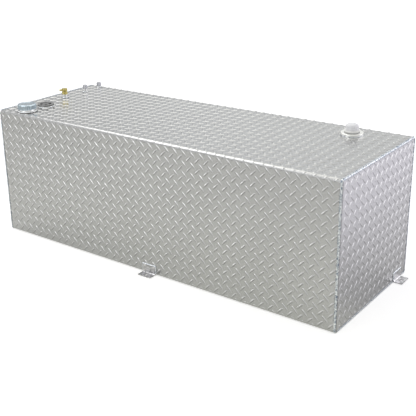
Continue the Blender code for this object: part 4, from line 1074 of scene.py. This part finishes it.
VENT_BORE, VENT_NECK, VENT_RISE = 0.0076, 0.0113, 0.0140
VENT_SHANK = VENT_BORE - SLIT
HEX, WAIST_RADIUS, BARREL_RADIUS, BARREL_BORE = 0.0103, 0.0095, 0.0111, 0.0078
HEX_FOOT = VENT_RISE + SLIT
WAIST, BARREL, RIM = HEX_FOOT + 0.0078, HEX_FOOT + 0.0118, HEX_FOOT + 0.0202
SEAT = WAIST + 0.0010
place = middle_of("vent_bung")
coupling("vent", VENT_BORE, VENT_NECK, VENT_RISE, 0.0031, 0.0042)
body_profile = eased([
    (BARREL_BORE, RIM), (BARREL_RADIUS - 0.0004, RIM), (BARREL_RADIUS, RIM - 0.0004),
    (BARREL_RADIUS, BARREL + 0.0008), (WAIST_RADIUS, BARREL - 0.0006), (WAIST_RADIUS, WAIST + 0.0001),
], 0.0002)[:-1] + [
    (WAIST_RADIUS, WAIST), *hexagon_side(HEX, HEX_FOOT, WAIST), (VENT_SHANK, HEX_FOOT),
    *between((VENT_SHANK, HEX_FOOT - 0.0003), (VENT_SHANK, HEX_FOOT - 0.0094), 32),
    (VENT_SHANK - 0.0008, HEX_FOOT - 0.010), (0.0045, HEX_FOOT - 0.010), (0.0045, SEAT),
    (BARREL_BORE, SEAT),
]
turned(
    "vent_barrel", "vent_body", body_profile, place, brass,
    reach=hex_headed(VENT_SHANK, HEX, HEX_FOOT, WAIST),
)
turned(
    "vent_cover", "vent_lid",
    eased([
        (0, RIM + 0.0027), (BARREL_RADIUS - 0.0010, RIM + 0.0027), (BARREL_RADIUS, RIM + 0.0019),
        (BARREL_RADIUS, RIM + SLIT), (BARREL_BORE - SLIT, RIM + SLIT), (BARREL_BORE - SLIT, RIM - 0.0015),
        (0, RIM - 0.0015),
    ], 0.0003, bored=False),
    place, brass, 64, bored=False,
)
nipple = turned(
    "vent_nipple", "vent_outlet",
    eased([
        (0.0015, 0.0085), (0.0032, 0.0085), (0.0036, 0.0081), (0.0036, 0.0), (0.0024, 0.0),
        (0.0024, -0.0020), (0.0015, -0.0020),
    ], 0.0002),
    (0, 0, 0), brass, 32,
)
NIPPLE_TURN = math.radians(218)
spin = Matrix.Rotation(NIPPLE_TURN, 4, "Z") @ Matrix.Rotation(math.pi / 2, 4, "Y")
out_of_barrel = Matrix.Translation((0, 0, BARREL_RADIUS + SLIT))
halfway_up = Matrix.Translation(Vector(place + [0, 0, (BARREL + RIM) / 2]))
nipple.data.transform(halfway_up @ spin @ out_of_barrel)


def steel_finish(place):
    """Bright steel gone grey, with fine scratches and darker handling."""
    cloud = grain(place, 120.0, 4.0)
    scratch = grain(place, 1.0, 2.0, (2400.0, 300.0, 2400.0))
    level = (0.7 * cloud + 0.4 * scratch).clamped()
    return {
        "Base Color": level.blend(tint(0.26, (0.97, 0.98, 1.05)), tint(0.66, (0.97, 0.98, 1.03))),
        "Roughness": 0.18 + 0.18 * cloud,
        "Normal": relief(scratch, 0.15, 0.00005),
    }


steel = finish("bright_steel", {"Metallic": 1.0}, steel_finish)
smooth_copy("vent_poppet", steel, "vent_poppet")

# The spring bears on the lid, and gets a mesh of its own
spring = smooth_copy("vent_spring", steel, "tank")
foot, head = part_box("vent_spring")
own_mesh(spring)


# The supply and return openings: two small welded couplings with hexagon-headed steel plugs. The
# supply's coupling stands tall and the return's is low.

SMALL_BORE, SMALL_NECK = 0.0062, 0.0100
PLUG_SHANK, PLUG_HALF, PLUG_HEAD = SMALL_BORE - SLIT, 0.00825, 0.0150
for fitting, height in (("supply", 0.0125), ("return", 0.0042)):
    coupling(fitting, SMALL_BORE, SMALL_NECK, height, 0.0025, 0.0032)
    foot = height + SLIT
    head = foot + PLUG_HEAD
    profile = [
        (0, head), (PLUG_HALF * 0.55, head), *hexagon_side(PLUG_HALF, foot, head), (PLUG_SHANK, foot),
        *between((PLUG_SHANK, foot - 0.0003), (PLUG_SHANK, foot - 0.0092), 32),
        (PLUG_SHANK - 0.0008, foot - 0.0100), (0, foot - 0.0100),
    ]
    turned(
        f"{fitting}_hexagon", f"{fitting}_plug", profile, middle_of(f"{fitting}_bung"), steel,
        reach=hex_headed(PLUG_SHANK, PLUG_HALF, foot, head), bored=False, body=f"{fitting}_plug",
    )


# The float gauge on top: a welded ring, a white moulded body screwed down on a grey gasket, and a
# clear cup with moulded ribs over the red disc that the float raises. Below are its drop tube, the
# folded bracket, and the wire arm with a foam float between two clips.

satin_metal = finish("satin_aluminium", {"Metallic": 1.0}, turned_finish(0.9, 0.30, (1.0, 1.0, 0.97)))
GAUGE_BORE, GAUGE_RING, GAUGE_RISE, GAUGE_GASKET = 0.0222, 0.0375, 0.0080, 0.0015
place = middle_of("gauge_bung")
turned(
    "gauge_ring", "gauge_bung",
    eased([
        (GAUGE_BORE + 0.0010, GAUGE_RISE), (GAUGE_RING - 0.0010, GAUGE_RISE),
        (GAUGE_RING, GAUGE_RISE - 0.0010), (GAUGE_RING, SLIT), (0.029, SLIT), (0.029, -0.009),
        (GAUGE_BORE, -0.009), *between((GAUGE_BORE, -0.0085), (GAUGE_BORE, GAUGE_RISE - 0.0012), 40),
        (GAUGE_BORE, GAUGE_RISE - 0.0010),
    ], 0.0003),
    place, satin_metal, reach=thread(GAUGE_BORE, -0.0087, GAUGE_RISE - 0.0012, -0.0009, PIPE_PITCH),
)
ring_bead("gauge", "gauge_bung", GAUGE_RING, 0.0012, 0.0018, 0.1)
grey_rubber = finish("grey_rubber", {}, moulded_finish(0.42, 0.56, 0.5))
washer("gauge_gasket", 0.0255, GAUGE_BORE, GAUGE_RISE + SLIT, GAUGE_GASKET, "tank", grey_rubber)
white_plastic = finish(
    "white_plastic", {"Coat Weight": 0.3}, moulded_finish(0.86, 0.95, 0.22, (1.0, 1.0, 0.98))
)
RIM_FOOT = GAUGE_RISE + GAUGE_GASKET + 2 * SLIT
RIM_TOP = RIM_FOOT + 0.0065
RIM_RADIUS, RIM_GRIPS, RIM_GRIP_DEPTH = 0.0255, 12, 0.0007
WELL, WELL_UNDER = RIM_TOP - 0.0045, RIM_TOP - 0.0085
GAUGE_SHANK, GAUGE_WALL = GAUGE_BORE - SLIT, 0.0034
shank_thread = thread(GAUGE_SHANK, -0.0056, RIM_FOOT - 0.0008, 0.0009, PIPE_PITCH)


def gauge_reach(radius, height, angle):
    """The shank's thread, and shallow grips round the rim where the cosine is above a half."""
    grip = np.clip(np.cos(RIM_GRIPS * angle) * 2 - 1, 0, 1) * (radius > RIM_RADIUS - 0.0003)
    return shank_thread(radius, height, angle) - RIM_GRIP_DEPTH * grip


turned(
    "gauge_rim", "gauge_body",
    eased([
        (0.0022, WELL), (0.015, WELL), (0.015, RIM_TOP), (RIM_RADIUS - 0.0004, RIM_TOP),
        (RIM_RADIUS, RIM_TOP - 0.0006), (RIM_RADIUS, RIM_TOP - 0.0028), (0.024, RIM_FOOT),
        (GAUGE_SHANK, RIM_FOOT), *between((GAUGE_SHANK, RIM_FOOT - 0.0004), (GAUGE_SHANK, -0.0058), 40),
        (GAUGE_SHANK, -0.006), (GAUGE_SHANK - GAUGE_WALL, -0.006), (GAUGE_SHANK - GAUGE_WALL, WELL_UNDER),
        (0.0085, WELL_UNDER), (0.0085, -0.006), (0.0063, -0.006), (0.0063, WELL_UNDER),
        (0.0022, WELL_UNDER),
    ], 0.0003),
    place, white_plastic, 144, gauge_reach,
)


def clear_finish(place):
    """Clear plastic gone milky in the sun, with a faint swirl from the mould."""
    haze = grain(place, 120.0, 3.0)
    return {
        "Base Color": haze.blend(tint(0.93, (0.99, 0.99, 1.03)), tint(0.98, (1.0, 1.0, 1.02))),
        "Roughness": 0.16 + 0.3 * haze,
        "Normal": relief(grain(place, 500.0, 2.0), 0.12, 0.0001),
    }


clear_plastic = finish(
    "clear_plastic", {"Transmission Weight": 0.12, "IOR": 1.45, "Coat Weight": 0.5}, clear_finish
)
CUP_RADIUS, CUP_WALL, CUP_CHAMFER = 0.0215, 0.0018, 0.0065
CUP_LOW = RIM_TOP + SLIT
CUP_TOP = CUP_LOW + 0.0190
CUP_EDGE = CUP_TOP - CUP_CHAMFER
RIBS, GROOVE = 12, 0.0010


def cup_reach(radius, height, angle):
    """Ribs like battlements: flat crests with narrow valleys that run out in the chamfer."""
    outside = step_up(radius, CUP_RADIUS - CUP_CHAMFER, CUP_RADIUS - 0.0040)
    outside = np.where((radius < CUP_RADIUS - CUP_WALL + 1e-5) & (height < CUP_EDGE), 0, outside)
    valley = np.clip(1.6 * np.cos(RIBS * angle) - 0.6, 0, 1)
    return radius - GROOVE * valley * outside * (height > CUP_LOW + 0.0006)


corner = CUP_WALL * math.tan(math.pi / 8)
turned(
    "cup", "gauge_cup",
    eased([
        (0, CUP_TOP), (CUP_RADIUS - CUP_CHAMFER, CUP_TOP), (CUP_RADIUS - 0.0042, CUP_TOP - 0.0010),
        (CUP_RADIUS - 0.0022, CUP_TOP - 0.0030), (CUP_RADIUS - 0.0003, CUP_EDGE),
        *between((CUP_RADIUS - 0.0003, CUP_EDGE), (CUP_RADIUS, CUP_LOW + 0.0010), 4), (CUP_RADIUS, CUP_LOW),
        (CUP_RADIUS - CUP_WALL, CUP_LOW), (CUP_RADIUS - CUP_WALL, CUP_EDGE - corner),
        (CUP_RADIUS - CUP_CHAMFER - corner, CUP_TOP - CUP_WALL), (0, CUP_TOP - CUP_WALL),
    ], 0.0003, bored=False),
    place, clear_plastic, 144, cup_reach, bored=False,
)


def foam_finish(place):
    """Closed-cell foam: dark skin with fine pores."""
    pore = place.node("ShaderNodeTexVoronoi", {}, {"Vector": place, "Scale": 900.0})
    return {
        "Base Color": (pore * 1.4).clamped().blend(tint(0.03), tint(0.10, (1.0, 0.95, 0.9))),
        "Roughness": 0.75 + 0.2 * pore,
        "Normal": relief(pore, 0.5, 0.0003),
    }


def drawn_finish(place):
    """Drawn tube: long draw marks and a dull cloud."""
    marks = grain(place, 1.0, 2.0, (1500.0, 1500.0, 8.0))
    cloud = grain(place, 40.0, 3.0)
    return {
        "Base Color": (0.6 * cloud + 0.4 * marks).clamped().blend(tint(0.55), tint(0.74)),
        "Roughness": 0.24 + 0.16 * cloud,
        "Normal": relief(marks, 0.2, 0.00008),
    }


foam = finish("float_foam", {}, foam_finish)
drawn = finish("drawn_tube", {"Metallic": 1.0}, drawn_finish)
red_plastic = finish("red_plastic", {}, moulded_finish(0.5, 0.66, 0.3, (1.0, 0.07, 0.05)))
smooth_copy("gauge_drop_tube", drawn)
smooth_copy("gauge_float", foam, "float_arm")
smooth_copy("gauge_disc", red_plastic, "indicator")
for node, body in (
    ("gauge_bracket", "tank"),
    ("gauge_pivot_pin", "tank"),
    ("gauge_arm", "float_arm"),
    ("float_clip_inner", "float_arm"),
    ("float_clip_outer", "float_arm"),
    ("gauge_rod", "indicator"),
):
    smooth_copy(node, steel, body)


# The camera, at the photograph's place. Its turn, distance and lens were found from the tank's seven
# visible corners, and its shift from where the picture's centre of sight lies, in pixels.

FRAME_PX, FOCAL_PX, SIGHT_PX, SENSOR = 416, 797.85, (185.0, 193.04), 36.0
AZIMUTH, ELEVATION, ROLL = 0.66052, 0.35622, -0.02376
DISTANCE, TARGET = 2.89832, np.array([-0.0341, 0.0, 0.2111])
flat = math.cos(ELEVATION)
back = np.array([math.sin(AZIMUTH) * flat, -math.cos(AZIMUTH) * flat, math.sin(ELEVATION)])
right = np.array([math.cos(AZIMUTH), math.sin(AZIMUTH), 0.0])
up = np.cross(back, right)
rolled_right = math.cos(ROLL) * right + math.sin(ROLL) * up
rolled_up = -math.sin(ROLL) * right + math.cos(ROLL) * up
lens = bpy.data.cameras.new("camera")
lens.sensor_width = SENSOR
lens.lens = FOCAL_PX / FRAME_PX * SENSOR
lens.shift_x = (FRAME_PX / 2 - SIGHT_PX[0]) / FRAME_PX
lens.shift_y = -(FRAME_PX / 2 - SIGHT_PX[1]) / FRAME_PX
camera = bpy.data.objects.new("camera", lens)
pose = Matrix.Identity(4)
for column, axis in enumerate((rolled_right, rolled_up, back)):
    for row in range(3):
        pose[row][column] = axis[row]
pose.translation = Vector(TARGET + DISTANCE * back)
camera.matrix_world = pose
bpy.context.scene.collection.objects.link(camera)
bpy.context.scene.camera = camera


# The studio: a white floor in white surroundings, and five soft lamps. The key is low in front, one
# hangs over the left half and one above the rear left, a faint narrow one is at the left, and a
# lavender one lights the floor behind the right end.


def white_rays(start):
    """1 for camera, glossy and transmission rays."""
    rays = [start.node("ShaderNodeLightPath", output=number) for number in (0, 3, 6)]
    return (rays[0] + rays[1] + rays[2]).clamped()


def studio_world():
    """White to the camera. Mirrors and glass see a pale horizon under white, and on the left white
    in front and grey behind. All other rays get a plain white light.
    """
    world = bpy.data.worlds.new("studio")
    world.use_nodes = True
    tree = world.node_tree
    tree.nodes.clear()
    start = Shade(tree)
    direction = start.node("ShaderNodeTexCoord", output=0)
    x, y, z = (direction.axis(number) for number in range(3))
    horizon = (x * 5.0 + 3.2).clamped().blend(tint(0.82, (0.98, 1.0, 1.02)), tint(0.93, (0.985, 1.0, 1.0)))
    around = (z * 1.8 - 0.7).clamped().blend(horizon, tint(1.0, (1.0, 1.0, 0.97)))
    left = (x * -4.5 - 2.4 - z).clamped()
    behind_left = left * (y * 3.0 + 0.5).clamped()
    front_left = left * (y * -6.0 - 0.5).clamped()
    shown = front_left.blend(behind_left.blend(around, tint(0.5)), tint(1.0))
    is_camera = start.node("ShaderNodeLightPath", output=0)
    colour = is_camera.blend(shown, tint(1.0))
    seen = start.node("ShaderNodeBackground", {}, {"Color": colour, "Strength": 1.0})
    lit = start.node("ShaderNodeBackground", {}, {"Color": tint(1.0), "Strength": 0.62})
    mixed = start.node("ShaderNodeMixShader", {}, {0: white_rays(start), 1: lit, 2: seen})
    tree.links.new(mixed.socket, tree.nodes.new("ShaderNodeOutputWorld").inputs[0])
    bpy.context.scene.world = world


def soft_light(name, place, aim, size, power, colour=(1.0, 1.0, 1.0), spread=180):
    """A rectangular lamp that faces the point it aims at, with its power in watts."""
    light = bpy.data.lights.new(name, "AREA")
    light.spread = math.radians(spread)
    light.shape = "RECTANGLE"
    light.size, light.size_y = size
    light.energy = power
    light.color = colour
    lamp = bpy.data.objects.new(name, light)
    lamp.location = place
    lamp.rotation_euler = (Vector(aim) - Vector(place)).to_track_quat("-Z", "Y").to_euler()
    bpy.context.scene.collection.objects.link(lamp)


studio_world()
soft_light("key", (-0.4, -3.0, 1.35), (-0.3, 0, 0.25), (1.9, 0.5), 10)
soft_light("over", (-1.5, -0.7, 2.6), (-0.9, -0.4, 0.4), (2.6, 0.8), 18)
soft_light("back", (-1.15, 0.9, 2.7), (-0.6, 0, 0.4), (2.5, 1.6), 17, (1.0, 1.0, 0.94))
soft_light("left", (-2.5, -1.2, 0.35), (0.5, -0.25, 0.25), (1.0, 0.6), 0.12, (0.97, 0.98, 1.0), 24)
soft_light("right", (3.0, 2.3, 1.2), (1.6, 1.2, 0.0), (3.0, 2.4), 30, (0.96, 0.94, 1.0))


def floor_finish(place):
    """Pale floor that is lifted to white for the camera. For mirrors it glows as a painted reflection,
    a little yellow in front, dim behind, and lavender behind the right end.
    """
    side, depth = place.axis(0), place.axis(1)
    front = (0.5 - depth * 1.2).clamped()
    behind_right = (side * 2.0 - 1.4).clamped()
    is_camera = place.node("ShaderNodeLightPath", output=0)
    # Painted reflection: the glow that mirrors see, yellow near the front and lavender behind the right
    # end.
    near = (depth + 1.3).clamped() * (side * 0.5 + 0.75).clamped()
    near = near.blend(tint(0.08, (1.0, 1.0, 0.95)), tint(0.24, (1.0, 1.02, 0.85)))
    behind = (behind_right * behind_right).blend(tint(0.065), tint(0.38, (0.98, 0.94, 1.12)))
    surroundings = (depth * -4.0).clamped().blend(behind, near)
    far = (depth * 0.5 - 0.5).clamped()
    lift = is_camera.blend(surroundings, far.blend(tint(0.52), tint(0.7)))
    return {
        "Base Color": front.blend(tint(0.78, (0.98, 0.97, 1.0)), tint(0.76, (1.0, 1.0, 0.965))),
        "Emission Color": white_rays(place).blend(tint(0.0), lift),
    }


FLOOR_HALF, FLOOR_Z = 9, -0.0005
corners = [(x * FLOOR_HALF, y * FLOOR_HALF, FLOOR_Z) for x, y in ((-1, -1), (1, -1), (1, 1), (-1, 1))]
floor_mesh = bpy.data.meshes.new("floor")
floor_mesh.from_pydata(corners, [], [(0, 1, 2, 3)])
floor_mesh.materials.append(finish("floor", {"Roughness": 0.9, "Emission Strength": 1.0}, floor_finish))
floor = bpy.data.objects.new("floor", floor_mesh)
bpy.context.scene.collection.objects.link(floor)

scene = bpy.context.scene
scene.view_settings.view_transform = "Standard"
